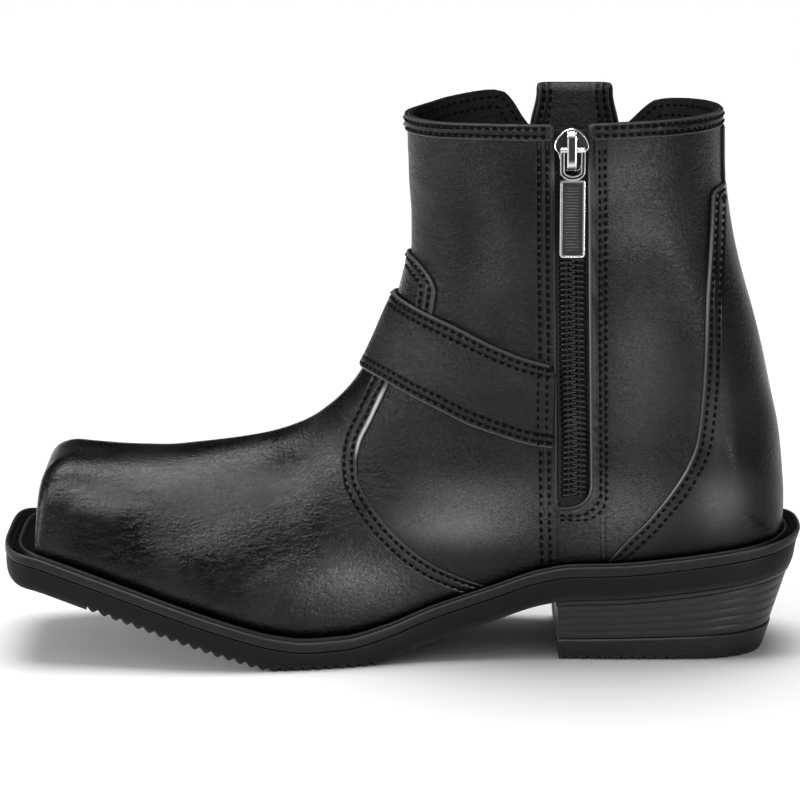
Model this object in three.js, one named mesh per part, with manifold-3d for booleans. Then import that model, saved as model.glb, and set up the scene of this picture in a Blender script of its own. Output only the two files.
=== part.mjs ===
// A man's short leather motorcycle boot, right foot: square toe, side zip on the inner side, strap over the
// instep, heel counter, welt, ribbed rubber sole and an underslung stacked heel.
// Millimetres. +X runs forward to the toe, +Y to the inner side (the zip), +Z up. The boot stands on Z = 0 and
// its origin is the centre of its bounding box on the floor. Inside this file x is measured from the heel point
// of the last, and y from the last's long axis; the group moves both to the origin at the end.
import * as THREE from "three";
import { mergeVertices } from "three/addons/utils/BufferGeometryUtils.js";
import Module from "manifold-3d";

const wasm = await Module();
wasm.setup();

// Driving dimensions of the last and the shaft
const lastLength = 284; // heel point to toe of the bare upper
const ballWidth = 91; // bare upper across the ball, at the feather edge
const bootHeight = 208; // floor to the collar
const shaftWidth = 87; // bare upper across the collar

// Leather and its clearances
const wall = 2.2; // upper with its lining
const overlay = 1.3; // vamp, counter and patch
const seam = 0.3; // clearance between two sewn pieces
const strapThickness = 1.8;
const bandThickness = 0.7;

// Bottom unit
const soleThickness = 13; // welt and outsole together
const weltThickness = 3.8;
const weltWidth = 9.5; // welt beyond the bare upper, at the forefoot
const weltStep = 0.6; // the outsole's edge is cut this far inside the welt's
const toeWelt = 13;
const heelWelt = 9;
const seatHeight = 36.8; // top of the welt at the heel breast
const toeHeight = 44.2; // top of the welt at the toe tip, which gives the toe spring
const ballFlat = 2.2; // how deep the flat of the tread is moulded into the sole's curve
const ballHeight = soleThickness - ballFlat; // top of the welt at the ball
const toeTuck = 4; // the outsole's lower edge is rounded up at the tip
const ribPitch = 4.3;
const ribGap = 1.5;
const ribDepth = 1.3;

// Heel
const heelBreast = 87; // from the last's heel point
const breastRake = 2; // the breast leans back over its height
const heelRake = 11.5; // the back leans forward over its height
const heelTaper = 3; // each side leans in over its height
const topLift = 7.8; // rubber under the stacked leather
const heelRand = 1.7; // thin layer between outsole and stack

// Insole
const insoleThickness = 3;

// Strap, patch and loop
const loopWidth = 28;
const loopHeight = 4.2; // the loop's top above the collar
const loopThickness = 1.8;
const bandHeight = 6; // turned band under the collar's edge
const stayWidth = 16;

// Zip
const zipX = 82.3; // centre line of the coil
const coilWidth = 8;
const tapeWidth = 26;
const tapeThickness = 0.9;
const slotFloor = 59.5; // lower end of the opening
const slotWidth = 12.6;
const pivotZ = bootHeight - 10; // axis of the pull tab
const sliderWidth = 13.4;
const sliderLength = 16;
const plateThickness = 2.2;
const bridgeWidth = 3.6;
const bridgeThickness = 1.2;
const pullWidth = 9.4;
const pullLength = 40;
const pullThickness = 1.5;
const pullArm = 12; // pivot to the top of the solid tab
const armWidth = 1.7;

// Smooth curve through the rows of a table that never overshoots them
function curve(xs, ys) {
  const n = xs.length;
  const slope = xs.slice(1).map((x, i) => (ys[i + 1] - ys[i]) / (x - xs[i]));
  const tangent = ys.map((_, i) => {
    if (i === 0) return slope[0];
    if (i === n - 1) return slope[n - 2];
    if (slope[i - 1] * slope[i] <= 0) return 0;
    return (2 * slope[i - 1] * slope[i]) / (slope[i - 1] + slope[i]);
  });
  return (x) => {
    const at = Math.min(Math.max(x, xs[0]), xs[n - 1]);
    let i = 0;
    while (i < n - 2 && at > xs[i + 1]) i++;
    const h = xs[i + 1] - xs[i];
    const t = (at - xs[i]) / h;
    const u = 1 - t;
    return (
      ys[i] * (1 + 2 * t) * u * u +
      ys[i + 1] * (1 + 2 * u) * t * t +
      h * t * u * (tangent[i] * u - tangent[i + 1] * t)
    );
  };
}
const column = (rows, k) => rows.map((row) => row[k]);

// Quarter of a superellipse: 0 at u = 0, 1 from u = 1 on
const round = (u, power) => {
  const v = 1 - Math.min(Math.max(u, 0), 1);
  return Math.pow(1 - Math.pow(v, power), 1 / power);
};

// Feather line of the bare upper: share of lastLength, half widths as shares of ballWidth
const featherRows = [
  // at, inner, outer
  [0.0, 0.324, 0.324],
  [0.21, 0.324, 0.324],
  [0.3, 0.314, 0.33],
  [0.39, 0.302, 0.346],
  [0.46, 0.313, 0.392],
  [0.53, 0.357, 0.462],
  [0.6, 0.412, 0.522],
  [0.66, 0.448, 0.541],
  [0.72, 0.459, 0.535],
  [0.8, 0.44, 0.492],
  [0.88, 0.397, 0.424],
  [1.0, 0.335, 0.345],
];
const featherInner = curve(column(featherRows, 0), column(featherRows, 1));
const featherOuter = curve(column(featherRows, 0), column(featherRows, 2));
// Share of weltWidth that stands out along the foot
const weltRows = [
  // at, share
  [0.0, 0.72],
  [0.3, 0.72],
  [0.45, 0.78],
  [0.6, 1.0],
  [1.0, 1.0],
];
const weltShare = curve(column(weltRows, 0), column(weltRows, 1));
const heelRound = 28; // length of the rounded back end
const toeRound = 10; // length of the square toe's rounded corners
const backPower = 2.7;
const toePower = 3.6;
const edgeRake = 0.17; // the welt's and outsole's back edge leans forward this much for each millimetre down

// Half width at x of the feather line grown by some reach, with ends at -back and lastLength + front
function halfWidth(inner, x, reach, back, front) {
  const at = x / lastLength;
  const side = (inner ? featherInner : featherOuter)(at) * ballWidth + reach * weltShare(at);
  const heelEnd = round((x + back) / (heelRound + back), backPower);
  const toeEnd = round((lastLength + front - x) / (toeRound + front / 2), toePower);
  return side * heelEnd * toeEnd;
}

// Height of the welt's top: share of lastLength, share of the rise to the heel seat, share of the rise to the toe
const seatRows = [
  // at, heel, toe
  [-0.032, 1.41, 0],
  [0.05, 1.25, 0],
  [0.144, 1.1, 0],
  [0.218, 1.023, 0],
  [0.282, 1.0, 0],
  [0.324, 0.92, 0],
  [0.39, 0.67, 0],
  [0.472, 0.375, 0],
  [0.535, 0.13, 0],
  [0.585, 0.015, 0],
  [0.634, 0, 0],
  [0.676, 0, 0.046],
  [0.74, 0, 0.195],
  [0.84, 0, 0.47],
  [0.944, 0, 0.765],
  [1.0, 0, 0.92],
  [1.042, 0, 1.0],
];
const seatHeel = curve(column(seatRows, 0), column(seatRows, 1));
const seatToe = curve(column(seatRows, 0), column(seatRows, 2));
const weltTop = (x) =>
  ballHeight +
  seatHeel(x / lastLength) * (seatHeight - ballHeight) +
  seatToe(x / lastLength) * (toeHeight - ballHeight);
const soleUnder = (x) =>
  Math.max(0, weltTop(x) - soleThickness + toeTuck * Math.min(1, Math.max(0, (x - lastLength - 4) / 9)) ** 2);

// Sections of the last, from the toe along the foot, round the heel and up the shaft. Each lies in a plane across
// the boot from a base point (on the seat or up the back) to a ridge point (along the vamp or up the shin).
// baseX, ridgeX: shares of lastLength. baseZ, ridgeZ: shares of bootHeight, baseZ 0 on the seat.
// low, high: half widths near base and ridge as shares of half the shaftWidth, low 0 where the feather line
// gives it. inset: share by which the foot of the section lies inside the swell above it.
// lowEnd, highEnd: share of the section's length that is rounded at each end. power: fullness of the ridge.
// flat: share of the width that is flat on the ridge. lean: how far an offset moves the base forward or back.
const sections = [
  // baseX, baseZ, ridgeX, ridgeZ, low, high, inset, lowEnd, highEnd, power, flat, lean
  [0.995, 0, 0.9935, 0.268, 0, 0.74, 0.06, 0.2, 0.35, 2.6, 0.62, 1],
  [0.9945, 0, 0.9915, 0.306, 0, 0.84, 0.06, 0.2, 0.4, 2.6, 0.56, 1],
  [0.989, 0, 0.985, 0.334, 0, 0.88, 0.06, 0.2, 0.45, 2.5, 0.5, 0.9],
  [0.9775, 0, 0.971, 0.351, 0, 0.88, 0.06, 0.2, 0.5, 2.4, 0.42, 0.6],
  [0.959, 0, 0.952, 0.3575, 0, 0.87, 0.06, 0.2, 0.56, 2.35, 0.34, 0.2],
  [0.928, 0, 0.923, 0.3565, 0, 0.85, 0.06, 0.2, 0.62, 2.3, 0.24, 0],
  [0.891, 0, 0.884, 0.355, 0, 0.83, 0.07, 0.2, 0.68, 2.2, 0.16, 0],
  [0.838, 0, 0.835, 0.3555, 0, 0.8, 0.07, 0.2, 0.74, 2.1, 0.1, 0],
  [0.778, 0, 0.782, 0.363, 0, 0.78, 0.07, 0.2, 0.8, 2.0, 0.07, 0],
  [0.718, 0, 0.725, 0.374, 0, 0.76, 0.07, 0.18, 0.82, 1.95, 0.05, 0],
  [0.658, 0, 0.676, 0.388, 0, 0.76, 0.07, 0.18, 0.82, 1.9, 0.04, 0],
  [0.599, 0, 0.636, 0.41, 0, 0.78, 0.07, 0.16, 0.82, 1.9, 0.03, 0],
  [0.535, 0, 0.604, 0.439, 0, 0.82, 0.07, 0.14, 0.8, 1.9, 0.03, 0],
  [0.472, 0, 0.579, 0.472, 0, 0.9, 0.07, 0.12, 0.76, 1.9, 0.03, 0],
  [0.405, 0, 0.558, 0.512, 0, 0.98, 0.07, 0.11, 0.7, 1.9, 0.03, 0],
  [0.335, 0, 0.539, 0.564, 0, 1.06, 0.06, 0.1, 0.62, 1.95, 0.03, 0],
  [0.264, 0, 0.524, 0.612, 0, 1.1, 0.05, 0.1, 0.54, 2.0, 0.03, 0],
  [0.187, 0, 0.511, 0.652, 0, 1.13, 0.04, 0.1, 0.48, 2.0, 0.03, 0],
  [0.113, 0, 0.504, 0.688, 0, 1.16, 0.04, 0.12, 0.44, 2.0, 0.03, -0.1],
  [0.049, 0, 0.499, 0.719, 0.725, 1.18, 0.06, 0.16, 0.42, 2.0, 0.03, -0.6],
  [0.001, 0.222, 0.497, 0.75, 0.73, 1.18, 0.06, 0.2, 0.42, 2.05, 0.03, -1],
  [-0.0025, 0.279, 0.497, 0.779, 0.735, 1.18, 0.06, 0.2, 0.42, 2.05, 0.03, -1],
  [0.0005, 0.341, 0.497, 0.805, 0.745, 1.17, 0.06, 0.21, 0.42, 2.05, 0.03, -1],
  [0.0068, 0.413, 0.498, 0.832, 0.765, 1.14, 0.06, 0.22, 0.42, 2.05, 0.03, -1],
  [0.018, 0.483, 0.499, 0.856, 0.795, 1.11, 0.06, 0.24, 0.42, 2.05, 0.03, -1],
  [0.03, 0.558, 0.5, 0.88, 0.835, 1.09, 0.06, 0.27, 0.42, 2.1, 0.03, -1],
  [0.0437, 0.63, 0.501, 0.904, 0.88, 1.06, 0.06, 0.3, 0.43, 2.1, 0.03, -1],
  [0.057, 0.692, 0.502, 0.928, 0.92, 1.04, 0.06, 0.33, 0.44, 2.1, 0.03, -1],
  [0.069, 0.755, 0.5025, 0.952, 0.95, 1.02, 0.06, 0.36, 0.45, 2.1, 0.03, -1],
  [0.078, 0.822, 0.503, 0.976, 0.975, 1.01, 0.06, 0.38, 0.46, 2.1, 0.03, -1],
  [0.0835, 0.885, 0.5035, 1.0, 0.99, 1.0, 0.06, 0.4, 0.46, 2.1, 0.03, -1],
  [0.0847, 0.947, 0.504, 1.024, 1.0, 1.0, 0.06, 0.41, 0.46, 2.1, 0.03, -1],
  [0.0857, 1.06, 0.504, 1.095, 1.0, 1.0, 0.06, 0.41, 0.46, 2.1, 0.03, -1],
];
const sectionCurves = sections[0].map((_, k) => curve(sections.map((_, i) => i), column(sections, k)));
const cornerRow = 20; // the section whose base is the heel's lower back corner

const backFlat = 0.06; // share of the width that is flat up the back

// The section at s (its row number): base and ridge points and the half width along it, grown outward by offset,
// with its base lowered by drop where it stands on the seat
function sectionAt(s, offset, drop) {
  const [baseX, baseZ, ridgeX, ridgeZ, low, high, inset, lowEnd, highEnd, power, flat, lean] =
    sectionCurves.map((along) => along(s));
  const onSeat = s <= cornerRow;
  const bx = baseX * lastLength;
  const bz = onSeat ? weltTop(bx) + seam - drop : baseZ * bootHeight;
  const ahead = Math.min(s + 0.1, sections.length - 1);
  const behind = Math.max(s - 0.1, 0);
  const dx = (sectionCurves[2](ahead) - sectionCurves[2](behind)) * lastLength;
  const dz = (sectionCurves[3](ahead) - sectionCurves[3](behind)) * bootHeight;
  const run = Math.hypot(dx, dz);
  const base = [bx + lean * offset, bz];
  const ridge = [ridgeX * lastLength + (dz / run) * offset, ridgeZ * bootHeight - (dx / run) * offset];
  const toe = round((lastLength - bx + 4) / (toeRound + 4), toePower);
  const up = Math.min(Math.max(s - cornerRow + 1, 0), 1); // 0 on the seat, 1 from the heel's corner up
  const back = Math.min(Math.max(s - cornerRow, 0), 1);
  const width = (inner, t) => {
    const side = (inner ? featherInner : featherOuter)(Math.min(bx, lastLength - toeRound) / lastLength);
    const seatHalf = (side * ballWidth * toe) / (1 - inset);
    const lowHalf = seatHalf + (low * (shaftWidth / 2) - seatHalf) * up;
    const seatFoot = side * ballWidth * toe * round(Math.max(bx, 0.3) / heelRound, backPower);
    const foot = (seatFoot + (backFlat * lowHalf - seatFoot) * back) / lowHalf;
    const body = lowHalf * (1 + (high - 1) * t * t * (3 - 2 * t)) + offset;
    const swell = foot + (1 - foot) * round(t / lowEnd, 2.2);
    const crown = flat + (1 - flat) * round((1 - t) / highEnd, power);
    return body * swell * crown;
  };
  return { base, ridge, width };
}

// A closed solid of the last's shape, grown outward by offset, a number or a function of x and z
const closeRows = [19.4, 19.7, 19.88]; // extra sections where the seat turns up into the back
const rowsAt = [...sections.keys(), ...closeRows].sort((a, b) => a - b);
const steps = 10; // from base to ridge
function lastForm(offset, drop = 0) {
  const grow = typeof offset === "function" ? offset : () => offset;
  const points = [];
  for (const s of rowsAt) {
    const bare = sectionAt(s, 0, drop);
    const ring = [];
    for (let j = 0; j <= steps; j++) {
      const t = (1 - Math.cos((Math.PI * j) / steps)) / 2;
      const x0 = bare.base[0] + (bare.ridge[0] - bare.base[0]) * t;
      const z0 = bare.base[1] + (bare.ridge[1] - bare.base[1]) * t;
      const { base, ridge, width } = sectionAt(s, grow(x0, z0), drop);
      const x = base[0] + (ridge[0] - base[0]) * t;
      const z = base[1] + (ridge[1] - base[1]) * t;
      ring.push([x, width(true, t), z, -width(false, t)]);
    }
    for (const [x, y, z] of ring) points.push(x, y, z);
    for (const [x, , z, y] of ring.reverse()) points.push(x, y, z);
  }
  const count = 2 * (steps + 1);
  const faces = [];
  for (let i = 0; i + 1 < rowsAt.length; i++) {
    for (let j = 0; j < count; j++) {
      const a = i * count + j;
      const b = i * count + ((j + 1) % count);
      faces.push(a, b, a + count, b, b + count, a + count);
    }
  }
  const last = (rowsAt.length - 1) * count;
  for (let j = 0; j < steps; j++) {
    const k = count - 1 - j;
    faces.push(j, k, j + 1, k, k - 1, j + 1);
    faces.push(last + j, last + j + 1, last + k, last + k, last + j + 1, last + k - 1);
  }
  return solid(points, faces);
}

// A manifold-3d solid from flat arrays of coordinates and triangle corners, turned to face outward
function solid(points, faces) {
  const make = (order) => new wasm.Manifold(
    new wasm.Mesh({ numProp: 3, vertProperties: new Float32Array(points), triVerts: new Uint32Array(order) }),
  );
  const made = make(faces);
  if (made.volume() > 0) return made;
  const turned = [];
  for (let i = 0; i < faces.length; i += 3) turned.push(faces[i], faces[i + 2], faces[i + 1]);
  return make(turned);
}

// A three.js geometry as a manifold-3d solid, and back
function toSolid(geometry) {
  const bare = geometry.clone();
  bare.deleteAttribute("normal");
  bare.deleteAttribute("uv");
  const merged = mergeVertices(bare, 1e-4);
  return solid(merged.attributes.position.array, merged.index.array);
}
function toGeometry(made) {
  const mesh = made.simplify(0.066).getMesh();
  const geometry = new THREE.BufferGeometry();
  const n = mesh.numProp;
  const xyz = new Float32Array(mesh.numVert * 3);
  for (let i = 0; i < mesh.numVert; i++) xyz.set(mesh.vertProperties.subarray(i * n, i * n + 3), i * 3);
  geometry.setAttribute("position", new THREE.BufferAttribute(xyz, 3));
  geometry.setIndex(new THREE.BufferAttribute(new Uint32Array(mesh.triVerts), 1));
  geometry.computeVertexNormals();
  return geometry;
}

// Prism over an outline in the side view, [x, z] pairs, from yFrom to yTo
function sidePrism(outline, yFrom, yTo) {
  const shape = new THREE.Shape(outline.map(([x, z]) => new THREE.Vector2(x, z)));
  const geometry = new THREE.ExtrudeGeometry(shape, { depth: yTo - yFrom, bevelEnabled: false });
  geometry.rotateX(Math.PI / 2);
  geometry.translate(0, yTo, 0);
  return toSolid(geometry);
}
// Prism over an outline in plan, [x, y] pairs, from zFrom to zTo
function planPrism(outline, zFrom, zTo) {
  const shape = new THREE.Shape(outline.map(([x, y]) => new THREE.Vector2(x, y)));
  const geometry = new THREE.ExtrudeGeometry(shape, { depth: zTo - zFrom, bevelEnabled: false });
  geometry.translate(0, 0, zFrom);
  return toSolid(geometry);
}
// Prism over an outline in the front view, [y, z] pairs, from xFrom to xTo
function frontPrism(outline, xFrom, xTo) {
  const shape = new THREE.Shape(outline.map(([y, z]) => new THREE.Vector2(y, z)));
  const geometry = new THREE.ExtrudeGeometry(shape, { depth: xTo - xFrom, bevelEnabled: false });
  geometry.rotateX(Math.PI / 2);
  geometry.rotateZ(Math.PI / 2);
  geometry.translate(xFrom, 0, 0);
  return toSolid(geometry);
}

// Side outlines of the sewn pieces: shares of lastLength and of bootHeight
const scaled = (rows) => rows.map(([at, up]) => [at * lastLength, up * bootHeight]);
const vampEdge = scaled([
  // at, up: from the welt up the rear edge and round the tongue under the strap
  [0.443, 0.16],
  [0.4655, 0.175],
  [0.492, 0.1995],
  [0.519, 0.233],
  [0.539, 0.263],
  [0.5574, 0.2986],
  [0.5683, 0.332],
  [0.5694, 0.36],
  [0.5655, 0.388],
  [0.549, 0.434],
  [0.533, 0.48],
  [0.5, 0.567],
  [0.475, 0.611],
  [0.4685, 0.632],
  [0.4655, 0.6545],
  [0.4634, 0.679],
  [0.4673, 0.696],
  [0.479, 0.7163],
  [0.4926, 0.7308],
  [0.507, 0.739],
]);
const counterEdge = scaled([
  // at, up: from the back along the top and down the front edge
  [-0.1, 0.868],
  [0.088, 0.868],
  [0.0955, 0.866],
  [0.1015, 0.86],
  [0.1035, 0.848],
  [0.1042, 0.824],
  [0.1067, 0.7577],
  [0.1106, 0.67],
  [0.1113, 0.58],
  [0.1137, 0.491],
  [0.1194, 0.4106],
  [0.1335, 0.357],
  [0.155, 0.3077],
  [0.18, 0.2615],
  [0.203, 0.23],
  [0.2187, 0.207],
  [0.24, 0.17],
]);
const strapTop = scaled([
  [0.3065, 0.5524],
  [0.3408, 0.5635],
  [0.3806, 0.5837],
  [0.4335, 0.617],
  [0.469, 0.6356],
  [0.5056, 0.653],
  [0.5246, 0.66],
  [0.58, 0.672],
]);
const strapBottom = scaled([
  [0.3065, 0.397],
  [0.3398, 0.4043],
  [0.38, 0.4212],
  [0.4197, 0.44],
  [0.4595, 0.4663],
  [0.4926, 0.4846],
  [0.5257, 0.503],
  [0.5454, 0.511],
  [0.567, 0.5154],
  [0.62, 0.521],
]);
const collarInner = scaled([
  [-0.2, 1.003],
  [0.08, 1.002],
  [0.18, 1.0],
  [0.285, 0.996],
  [0.4, 0.994],
  [0.5035, 0.989],
  [0.8, 0.989],
]);
const collarOuter = scaled([
  [-0.2, 1.003],
  [0.08, 1.0],
  [0.13, 0.9965],
  [0.158, 0.991],
  [0.172, 0.978],
  [0.194, 0.949],
  [0.215, 0.927],
  [0.24, 0.913],
  [0.27, 0.909],
  [0.3, 0.913],
  [0.324, 0.926],
  [0.342, 0.949],
  [0.36, 0.986],
  [0.369, 1.0],
  [0.376, 1.006],
  [0.392, 1.007],
  [0.44, 1.0],
  [0.5035, 0.989],
  [0.8, 0.989],
]);
const upTo = (line, dz) => line.map(([x, z]) => [x, z + dz]);
// Everything above a line, on one side or both
const farZ = 2 * bootHeight;
const above = (line, yFrom, yTo) => sidePrism([...line, [line.at(-1)[0], farZ], [line[0][0], farZ]], yFrom, yTo);

// Zip: the opening leans a little with the shaft
const zipLean = 0.018; // forward for each millimetre up
const zipAt = (z) => zipX + (z - pivotZ) * zipLean;
const strip = (half, zFrom, zTo) => [
  [zipAt(zFrom) - half, zFrom],
  [zipAt(zFrom) + half, zFrom],
  [zipAt(zTo) + half, zTo],
  [zipAt(zTo) - half, zTo],
];
const slotOutline = () => {
  const half = slotWidth / 2;
  const corner = 8;
  return [
    [zipAt(slotFloor) + half, slotFloor],
    [zipAt(1.1 * bootHeight) + half, 1.1 * bootHeight],
    [zipAt(1.1 * bootHeight) - half, 1.1 * bootHeight],
    [zipAt(slotFloor) - half, slotFloor + corner],
    [zipAt(slotFloor) - half + corner * 0.13, slotFloor + corner * 0.5],
    [zipAt(slotFloor) - half + corner * 0.5, slotFloor + corner * 0.13],
    [zipAt(slotFloor) - half + corner, slotFloor],
  ];
};

// Upper: one hollow wall, open at the collar, along the zip and underneath
const farY = 90;
const seatCut = (rise) => {
  // everything above the welt
  const line = [];
  for (let x = -20; x <= lastLength + 20; x += 5) line.push([x, weltTop(x) + rise]);
  return above(line, -farY, farY);
};
const bareForm = lastForm(0, 1.5);
const innerForm = lastForm(-wall, 4);
const upperSolid = bareForm
  .intersect(seatCut(seam))
  .subtract(innerForm)
  .subtract(above(collarInner, -0.01, farY))
  .subtract(above(collarOuter, -farY, 0))
  .subtract(sidePrism(slotOutline(), 0, farY));

// Overlays lie on the bare form, each between two grown forms
const underOverlay = lastForm(seam, 1.5);
const overOverlay = lastForm(seam + overlay, 1.5);
const overlayShell = overOverlay.subtract(underOverlay);
const vampSolid = overlayShell
  .intersect(sidePrism([...vampEdge, [lastLength + 20, 0.739 * bootHeight], [lastLength + 20, 10], [0.42 * lastLength, 10]], -farY, farY))
  .intersect(seatCut(seam));
const counterSolid = overlayShell
  .intersect(sidePrism([...counterEdge, [0.24 * lastLength, 10], [-0.1 * lastLength, 10]], -farY, farY))
  .intersect(seatCut(seam));

// Strap: rises over the vamp's tongue, comes down to the quarter at its sewn ends
const strapLift = (x) => {
  const t = Math.min(Math.max((x / lastLength - 0.36) / 0.1, 0), 1);
  return seam + (overlay + seam) * t * t * (3 - 2 * t);
};
const strapSolid = lastForm((x) => strapLift(x) + strapThickness)
  .subtract(lastForm(strapLift))
  .intersect(sidePrism([...strapBottom, ...strapTop.slice().reverse()], -farY, farY));

// Turned band along the collar, open at the zip
const bandShell = lastForm(seam + bandThickness).subtract(underOverlay);
const bandGap = slotWidth / 2 + 2.5;
const topBandSolid = bandShell
  .subtract(above(upTo(collarInner, -seam), -0.01, farY))
  .subtract(above(upTo(collarOuter, -seam), -farY, 0))
  .intersect(
    above(upTo(collarInner, -bandHeight), -0.01, farY).add(above(upTo(collarOuter, -bandHeight), -farY, 0)),
  )
  .subtract(sidePrism(strip(bandGap, 0.7 * bootHeight, 1.1 * bootHeight), 0, farY));

// Back stay between the counter and the band
const stayTop = bootHeight - bandHeight - seam;
const stayFoot = 0.868 * bootHeight + seam;
const backStaySolid = lastForm(seam + 1.2)
  .subtract(underOverlay)
  .intersect(planPrism([[-20, -stayWidth / 2], [0.2 * lastLength, -stayWidth / 2], [0.2 * lastLength, stayWidth / 2], [-20, stayWidth / 2]], stayFoot, stayTop));

// Pull loop: a strap folded over the dip in the outer side of the collar, sewn inside and out
const loopX = 0.27 * lastLength;
const loopOver = seam + bandThickness + seam; // it lies over the band
const loopTop = bootHeight + loopHeight;
const loopOutline = [
  [loopX - 16, 0.86 * bootHeight],
  [loopX - 16, 0.943 * bootHeight],
  [loopX - loopWidth / 2, 0.98 * bootHeight],
  [loopX - loopWidth / 2, loopTop],
  [loopX + loopWidth / 2 + 1, loopTop],
  [loopX + loopWidth / 2 + 1.6, 0.98 * bootHeight],
  [loopX + 18.5, 0.943 * bootHeight],
  [loopX + 18.5, 0.86 * bootHeight],
];
const loopOuter = lastForm(loopOver + loopThickness);
const loopInner = lastForm(-wall - seam - loopThickness);
const loopSolid = loopOuter
  .subtract(loopInner)
  .subtract(lastForm(loopOver).subtract(lastForm(-wall - seam)).subtract(above([[0, loopTop - loopThickness], [lastLength, loopTop - loopThickness]], -farY, 0)))
  .intersect(sidePrism(loopOutline, -farY, -10));

// Zip tape behind the opening, and the coil along its middle
const tapeSolid = lastForm(-wall - seam)
  .subtract(lastForm(-wall - seam - tapeThickness))
  .intersect(sidePrism(strip(tapeWidth / 2, slotFloor - 7, 0.985 * bootHeight), 0, farY));
const coilTop = pivotZ - sliderLength / 2 + 4;
const coilSolid = lastForm(-wall + 1.2)
  .subtract(lastForm(-wall))
  .intersect(sidePrism(strip(coilWidth / 2, slotFloor + 4, coilTop), 0, farY));

// Slider: a plate over the opening, a stem down to the coil and a bridge over the pull's bar
const surfaceY = (x, z) => {
  // outer surface of the bare form on the inner side, at x and z
  let best = 0;
  for (const s of sections.keys()) {
    const { base, ridge, width } = sectionAt(s, 0, 0);
    const along = [ridge[0] - base[0], ridge[1] - base[1]];
    const t = ((x - base[0]) * along[0] + (z - base[1]) * along[1]) / (along[0] ** 2 + along[1] ** 2);
    const off = Math.abs((x - base[0]) * along[1] - (z - base[1]) * along[0]) / Math.hypot(...along);
    if (t > 0 && t < 1 && off < 5) best = Math.max(best, width(true, t));
  }
  return best;
};
const plateBack = surfaceY(zipAt(pivotZ), pivotZ) + 0.55;
const plateFront = plateBack + plateThickness;
const barRadius = 1.1;
const barY = plateFront + seam + barRadius;
const bridgeIn = barY + barRadius + seam;
const sliderX = zipAt(pivotZ);
const box = (x0, x1, y0, y1, z0, z1) => toSolid(
  new THREE.BoxGeometry(x1 - x0, y1 - y0, z1 - z0).translate((x0 + x1) / 2, (y0 + y1) / 2, (z0 + z1) / 2),
);
const plateOutline = [];
for (let i = 0; i < 24; i++) {
  const a = (i / 24) * 2 * Math.PI;
  const c = Math.cos(a);
  const v = Math.sin(a);
  const narrow = v < 0 ? 1 + 0.16 * v : 1; // the plate narrows to its lower end
  plateOutline.push([
    sliderX + Math.sign(c) * Math.pow(Math.abs(c), 0.55) * (sliderWidth / 2) * narrow,
    pivotZ + Math.sign(v) * Math.pow(Math.abs(v), 0.55) * (sliderLength / 2),
  ]);
}
const bridgeHalf = 7.2;
const bridgeOutline = [
  [plateFront - 0.5, pivotZ - bridgeHalf],
  [bridgeIn, pivotZ - bridgeHalf + 1],
  [bridgeIn + bridgeThickness, pivotZ - bridgeHalf + 2.6],
  [bridgeIn + bridgeThickness, pivotZ + bridgeHalf - 2.6],
  [bridgeIn, pivotZ + bridgeHalf - 1],
  [plateFront - 0.5, pivotZ + bridgeHalf],
  [plateFront - 0.5, pivotZ + bridgeHalf - 2.4],
  [bridgeIn, pivotZ + bridgeHalf - 3.4],
  [bridgeIn, pivotZ - bridgeHalf + 3.4],
  [plateFront - 0.5, pivotZ - bridgeHalf + 2.4],
];
const sliderSolid = sidePrism(plateOutline, plateBack, plateFront)
  .add(box(sliderX - 4.4, sliderX + 4.4, plateBack - 2.1, plateBack + 0.5, coilTop + seam, pivotZ + 5.5))
  .add(frontPrism(bridgeOutline, sliderX - bridgeWidth / 2, sliderX + bridgeWidth / 2));

// Pull tab: bar under the bridge, two arms and a tab with ribs across its face
const pullEnd = pivotZ - pullLength;
const tabTop = pivotZ - pullArm;
const half = pullWidth / 2;
const pullY0 = barY - pullThickness / 2;
const pullY1 = barY + pullThickness / 2;
const bar = toSolid(new THREE.CylinderGeometry(barRadius, barRadius, pullWidth, 16).rotateZ(Math.PI / 2).translate(sliderX, barY, pivotZ));
const tabOutline = [
  [sliderX - half, tabTop],
  [sliderX - half, pullEnd + 2],
  [sliderX - half + 0.6, pullEnd + 0.6],
  [sliderX - half + 2, pullEnd],
  [sliderX + half - 2, pullEnd],
  [sliderX + half - 0.6, pullEnd + 0.6],
  [sliderX + half, pullEnd + 2],
  [sliderX + half, tabTop],
];
let pullSolid = sidePrism(tabOutline, pullY0, pullY1)
  .add(box(sliderX - half, sliderX - half + armWidth, pullY0, pullY1, tabTop - 0.5, pivotZ))
  .add(box(sliderX + half - armWidth, sliderX + half, pullY0, pullY1, tabTop - 0.5, pivotZ))
  .add(bar);
const panelDepth = 0.45;
pullSolid = pullSolid.subtract(box(sliderX - half + 1.6, sliderX + half - 1.6, pullY1 - panelDepth, pullY1 + 1, pullEnd + 1.8, tabTop - 1.6));

// Closed solid through rings of equal count, each a loop of [x, y, z] that starts at the rear on the long axis
function stackRings(rings) {
  const count = rings[0].length;
  const faces = [];
  const face = (a, b, c) => {
    if (a !== b && b !== c && c !== a) faces.push(a, b, c);
  };
  for (let i = 0; i + 1 < rings.length; i++) {
    for (let j = 0; j < count; j++) {
      const a = i * count + j;
      const b = i * count + ((j + 1) % count);
      faces.push(a, b, a + count, b, b + count, a + count);
    }
  }
  const last = (rings.length - 1) * count;
  for (let j = 0; j < Math.floor(count / 2); j++) {
    const k = (count - j) % count;
    const next = count - j - 1;
    face(j + 1, j, next);
    face(j, k, next);
    face(last + j, last + j + 1, last + next);
    face(last + k, last + j, last + next);
  }
  return solid(rings.flat(2), faces);
}

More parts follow.
